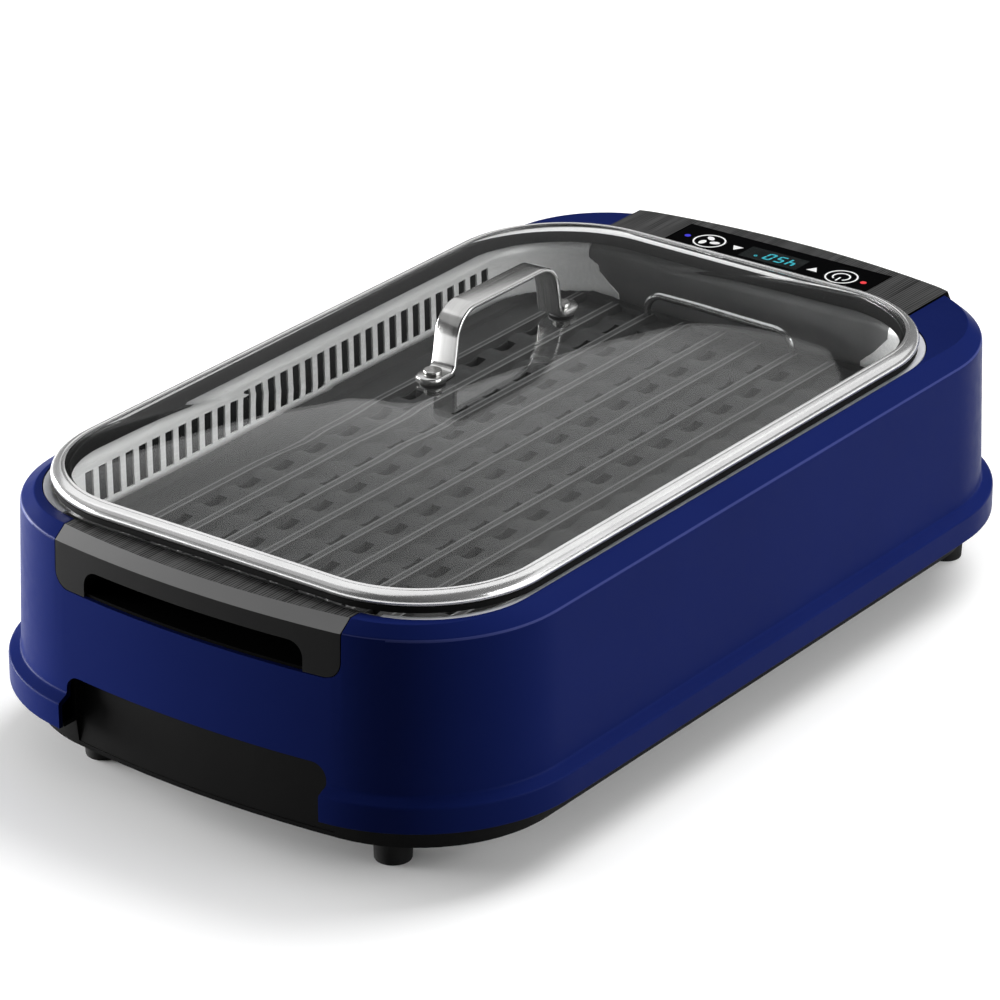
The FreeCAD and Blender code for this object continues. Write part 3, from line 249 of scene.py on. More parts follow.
class Finish:
    """A principled material with helpers for its procedural detail."""

    def __init__(self, name, colour, rough, metal=0.0, spec=0.5):
        self.mat = bpy.data.materials.new(name)
        self.mat.use_nodes = True
        self.tree = self.mat.node_tree
        self.bsdf = self.tree.nodes["Principled BSDF"]
        self.set("Base Color", colour)
        self.set("Roughness", rough)
        self.set("Metallic", metal)
        self.set("Specular IOR Level", spec)
        self.mat.diffuse_color = colour

    def set(self, socket, value):
        self.bsdf.inputs[socket].default_value = value

    def node(self, kind, **values):
        n = self.tree.nodes.new(kind)
        for key, value in values.items():
            setattr(n, key, value)
        return n

    def link(self, a, b):
        self.tree.links.new(a, b)

    def noise(self, scale, detail=2.0, rough=0.5, stretch=(1.0, 1.0, 1.0)):
        coord = self.node("ShaderNodeTexCoord")
        mapping = self.node("ShaderNodeMapping")
        mapping.inputs["Scale"].default_value = stretch
        tex = self.node("ShaderNodeTexNoise")
        tex.inputs["Scale"].default_value = scale
        tex.inputs["Detail"].default_value = detail
        tex.inputs["Roughness"].default_value = rough
        self.link(coord.outputs["Object"], mapping.inputs["Vector"])
        self.link(mapping.outputs["Vector"], tex.inputs["Vector"])
        return tex.outputs["Fac"]

    def bands(self, scale, distortion, detail):
        """Even lines across Y, a little uneven in their course."""
        coord = self.node("ShaderNodeTexCoord")
        wave = self.node("ShaderNodeTexWave", bands_direction="Y")
        wave.inputs["Scale"].default_value = scale
        wave.inputs["Distortion"].default_value = distortion
        wave.inputs["Detail"].default_value = detail
        wave.inputs["Detail Scale"].default_value = 0.3
        self.link(coord.outputs["Object"], wave.inputs["Vector"])
        return wave.outputs["Fac"]

    def ramp(self, fac, low, high, low_colour, high_colour):
        r = self.node("ShaderNodeValToRGB")
        r.color_ramp.elements[0].position = low
        r.color_ramp.elements[0].color = low_colour
        r.color_ramp.elements[1].position = high
        r.color_ramp.elements[1].color = high_colour
        self.link(fac, r.inputs["Fac"])
        return r.outputs["Color"]

    def span(self, fac, low, high, to_low, to_high):
        m = self.node("ShaderNodeMapRange")
        for key, value in (("From Min", low), ("From Max", high), ("To Min", to_low), ("To Max", to_high)):
            m.inputs[key].default_value = value
        self.link(fac, m.inputs["Value"])
        return m.outputs["Result"]

    def colour(self, socket):
        self.link(socket, self.bsdf.inputs["Base Color"])

    def rough(self, socket):
        self.link(socket, self.bsdf.inputs["Roughness"])

    def bump(self, height, distance, strength):
        b = self.node("ShaderNodeBump")
        b.inputs["Strength"].default_value = strength
        b.inputs["Distance"].default_value = distance
        self.link(height, b.inputs["Height"])
        self.link(b.outputs["Normal"], self.bsdf.inputs["Normal"])


def scaled(colour, k):
    return (colour[0] * k, colour[1] * k, colour[2] * k, 1.0)


def plastic(name, colour, rough, spec, grain, depth, vary=0.06):
    """Moulded plastic with a fine spark-eroded grain and faint cloudiness."""
    f = Finish(name, colour, rough, 0.0, spec)
    cloud = f.noise(9.0, 3.0)
    f.colour(f.ramp(cloud, 0.3, 0.7, scaled(colour, 1 - vary), scaled(colour, 1 + vary)))
    f.rough(f.span(f.noise(140.0, 3.0), 0.3, 0.7, rough - 0.04, rough + 0.05))
    f.bump(f.noise(grain, 2.0), depth, 0.5)
    return f


def sheet_steel(name, colour, rough, stretch, depth, spread=0.06):
    """Steel with brush lines drawn along one axis."""
    f = Finish(name, colour, rough, 1.0)
    lines = f.noise(1.0, 3.0, 0.6, stretch)
    f.colour(f.ramp(lines, 0.3, 0.7, scaled(colour, 0.9), scaled(colour, 1.06)))
    f.rough(f.span(lines, 0.3, 0.7, max(rough - spread, 0.02), rough + spread))
    f.bump(lines, depth, 0.4)
    return f


blue = plastic("satin_blue", (0.0076, 0.0156, 0.106, 1.0), 0.36, 0.018, 2600.0, 0.00003)
black = plastic("black_moulding", srgb(12, 12, 12), 0.5, 0.05, 2200.0, 0.00008)
rubber = plastic("foot_rubber", srgb(22, 22, 22), 0.75, 0.2, 1500.0, 0.00012)
shell_dark = plastic("shell_inside", srgb(14, 14, 17), 0.6, 0.05, 2200.0, 0.00004)
# Lighter blue for the rounded upper edge of the wall is a painted highlight
edge_painted_highlight = plastic("shell_edge_painted_highlight", (0.045, 0.058, 0.21, 1.0), 0.36, 0.03, 2600.0, 0.00003)
fan_black = plastic("fan_moulding", srgb(38, 38, 40), 0.55, 0.3, 1800.0, 0.00006)
washer_soft = plastic("washer_silicone", srgb(60, 60, 60), 0.7, 0.3, 1500.0, 0.00005)

# Grip plastic: brushed lines along X on the deck, a smooth slope painted pale grey as a painted reflection, a
# plain face and a pocket painted near-black as painted shade
grip = Finish("brushed_grip", srgb(44, 44, 44), 0.45, 0.0, 0.06)
lines = grip.bands(205.0, 1.2, 0.5)
fine = grip.noise(1.0, 1.0, 0.5, (14.0, 900.0, 14.0))
both = grip.node("ShaderNodeMath", operation="MULTIPLY_ADD")
both.inputs[1].default_value = 0.45
grip.link(lines, both.inputs[0])
grip.link(fine, both.inputs[2])
grip.colour(grip.ramp(both.outputs[0], 0.45, 0.9, srgb(16, 16, 16), srgb(90, 90, 90)))
grip.rough(grip.span(fine, 0.3, 0.7, 0.4, 0.55))
grip.bump(both.outputs[0], 0.0002, 0.5)
# Pale grey on the slope stands in for a lamp's reflection: a painted reflection, not the plastic's own tone
grip_slope_painted_reflection = plastic("grip_slope_painted_reflection", srgb(124, 124, 124), 0.36, 0.12, 2400.0, 0.00003, 0.04)
grip_face = plastic("grip_face", srgb(13, 13, 13), 0.45, 0.08, 2200.0, 0.00006)
# Near-black inside the hand pocket is painted shade
pocket = plastic("pocket_painted_shade", srgb(5, 5, 5), 0.7, 0.02, 1500.0, 0.00006)

rim_steel = sheet_steel("polished_rim", srgb(230, 230, 230), 0.2, (20.0, 20.0, 120.0), 0.000003, 0.02)
rim_steel.set("Metallic", 0.75)
strap_steel = sheet_steel("brushed_strap", srgb(198, 198, 197), 0.2, (30.0, 1100.0, 30.0), 0.000004, 0.03)
vent_steel = sheet_steel("brushed_vents", srgb(247, 247, 246), 0.36, (18.0, 900.0, 900.0), 0.00001)
vent_steel.set("Metallic", 0.1)
# Pale diffuse white on the steel flange is a painted reflection
vent_flange_painted_reflection = plastic("vent_flange_painted_reflection", srgb(226, 227, 232), 0.5, 0.3, 1800.0, 0.00002, 0.02)
wire_steel = sheet_steel("bail_wire", srgb(205, 205, 205), 0.18, (300.0, 300.0, 300.0), 0.000008)
screw_steel = sheet_steel("screw_heads", srgb(190, 190, 188), 0.2, (400.0, 400.0, 400.0), 0.000008)
tray_steel = sheet_steel("drip_tray_metal", srgb(120, 122, 124), 0.35, (20.0, 700.0, 700.0), 0.00002)
element_steel = sheet_steel("element_tube", srgb(96, 92, 88), 0.4, (200.0, 200.0, 200.0), 0.00002)
motor_steel = sheet_steel("motor_can", srgb(150, 150, 150), 0.3, (300.0, 300.0, 300.0), 0.00001)

# Dark cast plate with a non-stick coat: faint speckle over a fine orange-peel
nonstick = Finish("nonstick_coat", srgb(58, 58, 58), 0.55, 0.0, 0.1)
speckle = nonstick.noise(1400.0, 2.0)
nonstick.colour(nonstick.ramp(speckle, 0.35, 0.75, srgb(55, 55, 55), srgb(62, 62, 62)))
nonstick.rough(nonstick.span(nonstick.noise(60.0, 3.0), 0.3, 0.7, 0.5, 0.6))
nonstick.bump(nonstick.noise(900.0, 2.0), 0.00001, 0.2)

# Paler grey along the rib tops is a painted highlight
rib_edge = plastic("rib_edge_painted_highlight", srgb(98, 98, 98), 0.5, 0.2, 1400.0, 0.00001, 0.04)

tub = Finish("tub_coating", srgb(106, 106, 106), 0.45, 0.0, 0.2)
tub.colour(tub.ramp(tub.noise(40.0, 4.0), 0.3, 0.7, srgb(100, 100, 100), srgb(112, 112, 112)))
tub.rough(tub.span(tub.noise(90.0, 3.0), 0.3, 0.7, 0.34, 0.48))
tub.bump(tub.noise(1300.0, 2.0), 0.00004, 0.5)

seal = plastic("lid_seal_rubber", srgb(14, 14, 14), 0.7, 0.08, 1500.0, 0.00003)

glass = Finish("tempered_glass", (0.93, 0.94, 0.94, 1.0), 0.015, 0.0, 0.5)
glass.set("Transmission Weight", 1.0)
glass.set("IOR", 1.25)
glass.rough(glass.span(glass.noise(25.0, 2.0), 0.3, 0.7, 0.008, 0.02))

screen = Finish("display_cover", srgb(3, 3, 4), 0.07, 0.0, 0.04)
screen.rough(screen.span(screen.noise(60.0, 2.0), 0.3, 0.7, 0.05, 0.1))

board = plastic("circuit_board", srgb(24, 70, 44), 0.5, 0.4, 900.0, 0.00004, 0.15)


def lit(name, colour, strength):
    f = Finish(name, colour, 0.4, 0.0, 0.2)
    f.set("Emission Color", colour)
    f.set("Emission Strength", strength)
    f.colour(f.ramp(f.noise(900.0), 0.3, 0.7, scaled(colour, 0.92), colour))
    return f


ink_white = lit("icon_white", srgb(235, 235, 235), 0.35)
ink_cyan = lit("digit_cyan", srgb(58, 170, 184), 0.4)
ink_dim = plastic("digit_window", srgb(18, 24, 24), 0.2, 0.4, 900.0, 0.00001)
ink_blue = lit("led_blue", srgb(56, 52, 190), 0.5)
ink_red = lit("led_red", srgb(225, 60, 66), 0.5)


def dress(obj, finish):
    obj.data.materials.clear()
    obj.data.materials.append(finish.mat)


def piece(obj, body, finish, slot, *replaced):
    dress(obj, finish)
    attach(obj, body)
    if replaced:
        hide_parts(*replaced)
    return obj


def keep(name, finish, edge=0.0):
    """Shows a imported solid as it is, with its material and softened edges."""
    obj = nodes[name]
    dress(obj, finish)
    mesh = obj.data
    weld = obj.modifiers.new("weld", "WELD")
    weld.merge_threshold = 1e-6
    if edge > 0:
        flat = obj.modifiers.new("flat", "DECIMATE")
        flat.decimate_type = "DISSOLVE"
        flat.angle_limit = math.radians(0.4)
        flat.delimit = {"MATERIAL"}
        bevel = obj.modifiers.new("edge", "BEVEL")
        bevel.width = edge * 0.001
        bevel.segments = 2
        bevel.limit_method = "ANGLE"
        bevel.angle_limit = math.radians(22.0)
        normals = obj.modifiers.new("normals", "WEIGHTED_NORMAL")
        normals.weight = 100
    else:
        split = obj.modifiers.new("split", "EDGE_SPLIT")
        split.split_angle = math.radians(30.0)
    mesh.polygons.foreach_set("use_smooth", [True] * len(mesh.polygons))
    return obj


def paint(obj, finishes, pick):
    """Adds finishes and gives each face the one that pick(x, y, z, normal) numbers, in millimetres."""
    for finish in finishes:
        obj.data.materials.append(finish.mat)
    for poly in obj.data.polygons:
        x, y, z = (c * 1000 for c in poly.center)
        poly.material_index = pick(x - SHIFT_X, y, z, poly.normal)


def keep_grip(name, end):
    """End cover with its lined deck, smooth slope painted pale as a painted reflection, plain face and hand
    pocket painted near-black as painted shade, as separate materials.
    """

    def pick(x, y, z, normal):
        depth = GRIP_FACE_X - x * end - (GRIP_BOW - math.sqrt(GRIP_BOW ** 2 - y ** 2))
        if z > DECK_FROM_Z and normal[2] > 0.97:
            return 0
        # Slope faces get the painted reflection
        if z > SLOPE_FROM_Z and normal[2] > 0.5:
            return 1
        # Faces inside the hand pocket get the painted shade
        if depth > 3.2 or (abs(y) < HAND_HALF + 0.5 and z < HAND_TOP_Z and depth > 0.3):
            return 3
        return 2

    paint(keep(name, grip, 0.5), (grip_slope_painted_reflection, grip_face, pocket), pick)


# Outer shell

def outer_shell():
    wall = 2.6
    levels = [
        at(bowed(BODY_PLAN, 5.7), 33.5), at(bowed(BODY_PLAN, 5.7), 46.8), at(bowed(BODY_PLAN, -0.52), 49.7),
        at(bowed(BODY_PLAN, -3.0), 127.0), at(bowed(DECK_PLAN), DECK_Z),
        at(rect(OPEN_NEAR, OPEN_FAR, OPEN_HALF, OPEN_R), DECK_Z),
        at(rect(OPEN_NEAR, OPEN_FAR, OPEN_HALF, OPEN_R), DECK_Z - wall),
        at(bowed(BODY_PLAN, -3.0 - wall), 125.2), at(bowed(BODY_PLAN, -0.52 - wall), 47.4),
        at(bowed(BODY_PLAN, 5.7 - wall), 44.8), at(bowed(BODY_PLAN, 5.7 - wall), 33.5)]
    radii = [0.5, 1.1, 1.2, 1.5, 0.5, 0.0, 0, 0, 0, 0, 0]
    shell = loft("outer_shell_skin", eased(levels, radii))
    near_notch = rounded_outline([(-85, NOTCH_Z, 9), (85, NOTCH_Z, 9), (85, 150, 0), (-85, 150, 0)])
    far_notch = rounded_outline([(-98, NOTCH_Z, 9), (98, NOTCH_Z, 9), (98, 150, 0), (-98, 150, 0)])
    recess = rounded_outline([(-78, 20, 0), (78, 20, 0), (78, 60, 8), (-78, 60, 8)])
    inlet = rounded_outline([(-15.5, 66.4, 1), (15.5, 66.4, 1), (15.5, 90.4, 1), (-15.5, 90.4, 1)])
    carve(shell, [prism_x("cut_a", near_notch, -290, -230), prism_x("cut_b", far_notch, 196, 290),
                  prism_x("cut_c", recess, -290, -225), prism_x("cut_d", inlet, 225, 290)])
    bevel = shell.modifiers.new("edge", "BEVEL")
    bevel.width = 0.0005
    bevel.segments = 2
    bevel.limit_method = "ANGLE"
    bevel.angle_limit = math.radians(50.0)
    normals = shell.modifiers.new("normals", "WEIGHTED_NORMAL")
    normals.weight = 100
    normals.keep_sharp = False
    return shell


def shell_finish(x, y, z, normal):
    """Dark inside, a painted highlight as a lighter blue line along the upper edge, and blue elsewhere."""
    nx, ny, nz = normal
    cut_side = abs(x) > 200 and abs(ny) > 0.95
    if abs(nz) < 0.8 and nx * x + ny * y < 0 and not cut_side:
        return 1
    # Faces of the rounded upper edge get the painted highlight
    return 2 if 125.5 < z < 128.5 and 0.32 < nz < 0.68 else 0


shell = piece(outer_shell(), "housing", blue, "blue_plastic", "outer_shell")
paint(shell, (shell_dark, edge_painted_highlight), shell_finish)


# Lid

def lid_rim():
    """Rolled band whose upper leg lies on the glass and whose foot carries the seal."""
    profile = [(-4.0, 136.3), (-2.0, 136.3), (-0.9, 136.6), (-0.25, 137.3)]
    for t in np.linspace(0, 0.8, 12):
        profile.append((-7 + 7 * math.cos(t * QUARTER), 138.2 + 4.7 * math.sin(t * QUARTER)))
    profile += [(-5.3, 142.58), (-5.55, 142.44), (-5.8, 142.66), (-6.4, 142.86), (-6.9, 142.9), (-7.0, 142.8)]
    profile += [(-7.0, 142.5), (-1.2, 140.25), (-1.2, 137.0), (-4.0, 136.9)]
    rings = [at(rect(OPEN_NEAR, OPEN_FAR, OPEN_HALF, LID_R, off), z) for off, z in profile]
    return loft("lid_rim_band", rings, smooth=38.0)


def lid_seal():
    """Rubber ring under the rim with a lip up to the glass."""
    profile = [(-4.4, 132.3), (-4.0, 133.3), (-0.9, 133.3), (-0.7, 133.6), (-0.7, 136.2), (-6.2, 136.25),
               (-6.2, 137.9), (-9.6, 138.8), (-10.0, 138.5), (-10.0, 132.8), (-9.6, 132.3)]
    rings = [at(rect(OPEN_NEAR, OPEN_FAR, OPEN_HALF, LID_R, off), z) for off, z in profile]
    return loft("lid_seal_ring", rings, smooth=30.0)


def dome_rings(drop, count=24):
    """Contours of the glass from its edge to its crown, lowered by drop."""
    near, far, half = OPEN_NEAR + GLASS_INSET, OPEN_FAR - GLASS_INSET, OPEN_HALF - GLASS_INSET
    reach = half - CROWN_HALF
    rings = []
    for d in np.linspace(0.0, reach, count):
        r = min(LID_R - GLASS_INSET - 0.25 * d, half - d - 0.5)
        rise = GLASS_RISE * (1 - (1 - d / reach) ** 2)
        rings.append(at(rect(near + d, far - d, half - d, r), GLASS_EDGE_Z + rise - drop))
    return rings


def lid_glass():
    upper = dome_rings(0.0)
    lower = dome_rings(GLASS_THICK)
    rings = list(reversed(lower)) + upper
    return loft("lid_glass_dome", rings, closed=False, caps=True, smooth=50.0)


def bent_line(corners, radii, steps=12):
    """Flat polyline with arcs at its corners."""
    points = [np.array(c, float) for c in corners]
    out = [points[0]]
    for i, r in enumerate(radii, 1):
        out.extend(corner_arc(points[i], points[i - 1], points[i + 1], r, steps))
    return np.array(out + [points[-1]])


def lid_handle():
    """Bent strap whose tabs end in half rounds."""
    half = [(-TAB_END, TAB_Z), (-44, TAB_Z), (-39, 198.5)]
    route = half + [(-x, z) for x, z in reversed(half)]
    line = bent_line(route, [5, 15, 15, 5])
    ends = TAB_R * (1 - np.cos(np.linspace(0.06, 1, 9) * QUARTER))
    lead = [np.array([-TAB_END + e, TAB_Z]) for e in ends] + [np.array([-52.0, TAB_Z])]
    tail = [np.array([-p[0], p[1]]) for p in reversed(lead)]
    flat = [p for p in line if abs(p[0]) < 51.9]
    path = np.array(lead + flat + tail)
    w, t, r = TAB_R, 1.5, 1.1
    section = rounded_outline([(-w, -t, r), (w, -t, r), (w, t, r), (-w, t, r)], 5)
    rings = []
    count = len(path)
    for i, p in enumerate(path):
        d = path[min(i + 1, count - 1)] - path[max(i - 1, 0)]
        d /= np.linalg.norm(d)
        normal = np.array([-d[1], d[0]])
        s = min(TAB_END + p[0], TAB_END - p[0])
        k = 1.0
        if abs(p[1] - TAB_Z) < 1e-6 and s < TAB_R:
            k = math.sqrt(max(TAB_R ** 2 - (TAB_R - s) ** 2, 0.01)) / TAB_R
        ring = []
        for u, v in section:
            q = p + normal * v
            ring.append((OPEN_X + q[0], u * k, q[1]))
        rings.append(np.array(ring))
    return loft("lid_handle_strap", rings, closed=False, caps=True, smooth=40.0)


piece(lid_rim(), "lid", rim_steel, "bright_steel", "lid_rim")
piece(lid_seal(), "lid", seal, "rubber_black", "lid_seal")
pane = piece(lid_glass(), "lid", glass, "clear_glass", "lid_glass")
pane.visible_shadow = False
piece(lid_handle(), "lid", strap_steel, "bright_steel", "lid_handle")


# Grill plate: ribs, channels with drip holes, and a hump between each pair of holes

PITCH_X, PITCH_Y = 26.3, 22.6
PLATE_NEAR, PLATE_FAR, PLATE_HALF, PLATE_R = -224.0, 190.0, 123.2, 45.0


def plate_half_width(x):
    inset = max(PLATE_NEAR + PLATE_R - x, x - (PLATE_FAR - PLATE_R), 0.0)
    inset = min(inset, PLATE_R)
    return PLATE_HALF - PLATE_R + math.sqrt(max(PLATE_R ** 2 - inset ** 2, 0.0))


def plate_field():
    """Rows of x and y lines of the plate, and which cells are drip holes."""
    hole_x = [OPEN_X + (i - 6.5) * PITCH_X for i in range(14)]
    xs = set()
    for x in hole_x:
        for k in range(-8, 8):
            xs.add(round(x + k * PITCH_X / 16, 4))
    for t in np.linspace(0, QUARTER, 12):
        xs.add(round(PLATE_NEAR + PLATE_R * (1 - math.cos(t)), 4))
        xs.add(round(PLATE_FAR - PLATE_R * (1 - math.cos(t)), 4))
    for inset in (8.5, 9.5, 11.0):
        xs.add(PLATE_NEAR + inset)
        xs.add(PLATE_FAR - inset)
    xs = sorted(xs)
    xs = [x for i, x in enumerate(xs) if i == 0 or x - xs[i - 1] > 0.25]
    offsets = (0.0, 1.3, 2.4, 2.9, 3.5, 4.2, 4.8, 6.0, 7.3, 8.6, 9.8, 11.3, 12.8, 14.0, 15.3, 16.6,
               17.8, 18.4, 19.1, 19.7, 20.2, 21.3)
    ys = set()
    for j in range(-4, 4):
        for o in offsets:
            ys.add(round(j * PITCH_Y + o, 4))
    margin = (0.0, 1.3, 2.4, 2.9, 3.5, 4.5, 7.0, 10.0, 14.0, 18.0, 22.2, 22.8, 23.6, 25.0, 27.0, 29.0, 31.0,
              32.2, 32.8)
    for o in margin:
        ys.add(round(4 * PITCH_Y + o, 4))
        ys.add(round(-4 * PITCH_Y - o, 4))
    return np.array(xs), np.array(sorted(ys)), hole_x


def smooth_step(t):
    t = np.clip(t, 0.0, 1.0)
    return t * t * (3 - 2 * t)


def plate_height(x, y, hole_x):
    """Level of the plate's upper face."""
    edge = plate_half_width(x) - abs(y)
    end = min(x - PLATE_NEAR, PLATE_FAR - x)
    border = min(edge, end)
    z = PLATE_Z + BORDER_HEIGHT * float(smooth_step((BORDER_WIDTH - border) / 1.6))
    z -= 0.8 * float(smooth_step((1.2 - border) / 1.2))
    if border < BORDER_WIDTH:
        return z
    k = round(y / PITCH_Y)
    away = abs(y - k * PITCH_Y)
    if abs(k) <= 4:
        z = max(z, PLATE_Z + RIB_HEIGHT * float(smooth_step((3.5 - away) / 1.1)))
    if away > 2.0 and abs(y) < 4 * PITCH_Y:
        wave = 0.5 - 0.5 * math.cos(2 * math.pi * (x - hole_x[0]) / PITCH_X)
        inside = float(smooth_step((min(x - hole_x[0], hole_x[-1] - x) + 20.0) / 10.0))
        z = max(z, PLATE_Z + HUMP_HEIGHT * wave * inside)
    return z


def grill_plate():
    xs, ys, hole_x = plate_field()
    nx, ny = len(xs), len(ys)
    points = []
    for x in xs:
        w = plate_half_width(x)
        for y in ys:
            yc = float(np.clip(y, -w, w))
            points.append((x, yc, plate_height(x, yc, hole_x)))
    top = len(points)
    points += [(p[0], p[1], PLATE_FOOT_Z) for p in points]
    solid = np.zeros((nx - 1, ny - 1), bool)
    for i in range(nx - 1):
        xm = (xs[i] + xs[i + 1]) / 2
        near_hole = min(abs(xm - h) for h in hole_x) < PITCH_X / 4
        for j in range(ny - 1):
            a, b = points[i * ny + j], points[i * ny + j + 1]
            c, d = points[(i + 1) * ny + j], points[(i + 1) * ny + j + 1]
            if abs(a[1] - b[1]) < 1e-6 and abs(c[1] - d[1]) < 1e-6:
                continue
            ym = (ys[j] + ys[j + 1]) / 2
            k = math.floor(ym / PITCH_Y)
            hole = False
            if near_hole and abs(ym) < 4 * PITCH_Y:
                side = -1.0 if (k + 4) % 2 == 0 else 1.0
                off = ym - (k + 0.5) * PITCH_Y
                hole = 0.9 < side * off < 7.2
            solid[i, j] = not hole
    faces = []
    for i in range(nx - 1):
        for j in range(ny - 1):
            if not solid[i, j]:
                continue
            a, b, c, d = i * ny + j, (i + 1) * ny + j, (i + 1) * ny + j + 1, i * ny + j + 1
            faces.append((a, b, c, d))
            faces.append((top + d, top + c, top + b, top + a))
            for u, v, ni, nj in ((a, b, i, j - 1), (b, c, i + 1, j), (c, d, i, j + 1), (d, a, i - 1, j)):
                if not (0 <= ni < nx - 1 and 0 <= nj < ny - 1 and solid[ni, nj]):
                    faces.append((u, top + u, top + v, v))
    return mesh_object("grill_plate_cast", np.array(points), faces, 42.0)


def plate_finish(x, y, z, normal):
    """Paler edges along the tops of the ribs, a painted highlight."""
    away = abs(y - round(y / PITCH_Y) * PITCH_Y)
    return 1 if z > PLATE_Z + 3.5 and 1.25 < away < 2.45 else 0


plate = piece(grill_plate(), "plate", nonstick, "nonstick", "grill_plate")
paint(plate, (rib_edge,), plate_finish)


# Control icons, read from the far end: letters run along +Y with their tops towards -X

SCREEN_Z = 133.4
INK = 0.12


def flat_solid(name, loops, z=SCREEN_Z):
    """Thin raised shapes from flat outlines; each entry is (outer, inner or None)."""
    points, faces = [], []
    for outer, inner in loops:
        n = len(outer)
        start = len(points)
        if inner is None:
            points += [(x, y, z) for x, y in outer] + [(x, y, z + INK) for x, y in outer]
            faces.append(tuple(start + n + i for i in range(n)))
            faces.append(tuple(start + n - 1 - i for i in range(n)))
            for i in range(n):
                k = (i + 1) % n
                faces.append((start + i, start + k, start + n + k, start + n + i))
            continue
        for ring, level in ((outer, z), (outer, z + INK), (inner, z + INK), (inner, z)):
            points += [(x, y, level) for x, y in ring]
        for a, b in ((0, 1), (1, 2), (2, 3), (3, 0)):
            for i in range(n):
                k = (i + 1) % n
                faces.append((start + a * n + i, start + a * n + k, start + b * n + k, start + b * n + i))
    return mesh_object(name, np.array(points), faces, 30.0)


def circle(cx, cy, r, n=40):
    t = np.linspace(0.0, 2 * math.pi, n, endpoint=False)
    return [(cx + r * math.cos(a), cy + r * math.sin(a)) for a in t]


def band(cx, cy, r, width, a0, a1, n=28):
    """Open ring sector as one outline."""
    t = np.linspace(a0, a1, n)
    outer = [(cx + (r + width / 2) * math.cos(a), cy + (r + width / 2) * math.sin(a)) for a in t]
    inner = [(cx + (r - width / 2) * math.cos(a), cy + (r - width / 2) * math.sin(a)) for a in reversed(t)]
    return outer + inner


def fan_icon(cx, cy):
    loops = [(circle(cx, cy, 9.0), circle(cx, cy, 8.1))]
    for k in range(3):
        a = 2 * math.pi * k / 3 + 0.35
        blade = []
        for t in np.linspace(0, 2 * math.pi, 24, endpoint=False):
            u, v = 3.9 + 2.5 * math.cos(t), 1.9 * math.sin(t) + 0.9 * math.cos(t)
            blade.append((cx + u * math.cos(a) - v * math.sin(a), cy + u * math.sin(a) + v * math.cos(a)))
        loops.append((blade, None))
    return flat_solid("icon_fan", loops)


def power_icon(cx, cy):
    top, foot, t = cx - 6.0, cx - 1.0, 0.45
    bar = [(top, cy - t), (foot, cy - t), (foot, cy + t), (top, cy + t)]
    loops = [(circle(cx, cy, 9.0), circle(cx, cy, 8.1)),
             (band(cx, cy, 4.6, 0.9, math.pi + 0.6, 3 * math.pi - 0.6), None),
             (bar, None)]
    return flat_solid("icon_power", loops)


def arrow_icon(name, cx, cy, up):
    """Triangle whose tip points to the letters' top (up) or foot."""
    s = -1.0 if up else 1.0
    tip, foot = cx + s * 2.6, cx - s * 2.6
    return flat_solid(name, [([(tip, cy), (foot, cy + 3.2), (foot, cy - 3.2)], None)])


SEGMENTS = {"0": "abcdef", "4": "fgbc", "5": "afgcd"}


def digits(text, cx, cy, w, h, gap, t):
    """Seven-segment digits; u runs along the text and v to the letters' top."""
    loops = []
    total = len(text) * w + (len(text) - 1) * gap
    for i, ch in enumerate(text):
        u0 = -total / 2 + i * (w + gap)
        bars = {"a": (0.6, h - t, w - 0.6, h), "d": (0.6, 0, w - 0.6, t),
                "g": (0.6, (h - t) / 2, w - 0.6, (h + t) / 2),
                "f": (0, h / 2 + 0.4, t, h - 0.6), "b": (w - t, h / 2 + 0.4, w, h - 0.6),
                "e": (0, 0.6, t, h / 2 - 0.4), "c": (w - t, 0.6, w, h / 2 - 0.4)}
        for key in SEGMENTS[ch]:
            a0, b0, a1, b1 = bars[key]
            corners = [(a0, b0), (a1, b0), (a1, b1), (a0, b1)]
            slant = [(u0 + a + 0.12 * (b - h / 2), b - h / 2) for a, b in corners]
            loops.append(([(cx - v, cy + u) for u, v in slant], None))
    return loops


def display():
    cx = 228.5
    rows = [(fan_icon(cx, 41.5), ink_white), (power_icon(cx - 0.8, -42.5), ink_white),
            (arrow_icon("icon_less", cx, 24.5, True), ink_white),
            (arrow_icon("icon_more", cx - 0.5, -25.2, False), ink_white),
            (flat_solid("led_fan", [(circle(cx, 55.5, 1.7), None)]), ink_blue),
            (flat_solid("led_power", [(circle(cx - 0.8, -56.0, 1.7), None)]), ink_red)]
    near, far, r = cx - 7.5, cx + 7.5, 0.8
    window = rounded_outline([(near, -17.5, r), (far, -17.5, r), (far, 18.5, r), (near, 18.5, r)])
    rows.append((flat_solid("digit_window", [([tuple(p) for p in window], None)], SCREEN_Z - 0.06), ink_dim))
    degree = [(circle(cx - 2.8, 10.2, 1.0, 20), circle(cx - 2.8, 10.2, 0.5, 20))]
    shown = digits("450", cx, -4.0, 4.8, 8.6, 2.2, 1.1) + degree
    rows.append((flat_solid("digits_shown", shown, SCREEN_Z + 0.04), ink_cyan))
    for obj, finish in rows:
        piece(obj, "housing", finish, "display_glass")


display()


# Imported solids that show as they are

def vent_finish(x, y, z, normal):
    """Flange on top of the brushed panel in a pale diffuse colour, a painted reflection of the steel."""
    return 1 if normal[2] > 0.9 and z > DECK_FROM_Z else 0


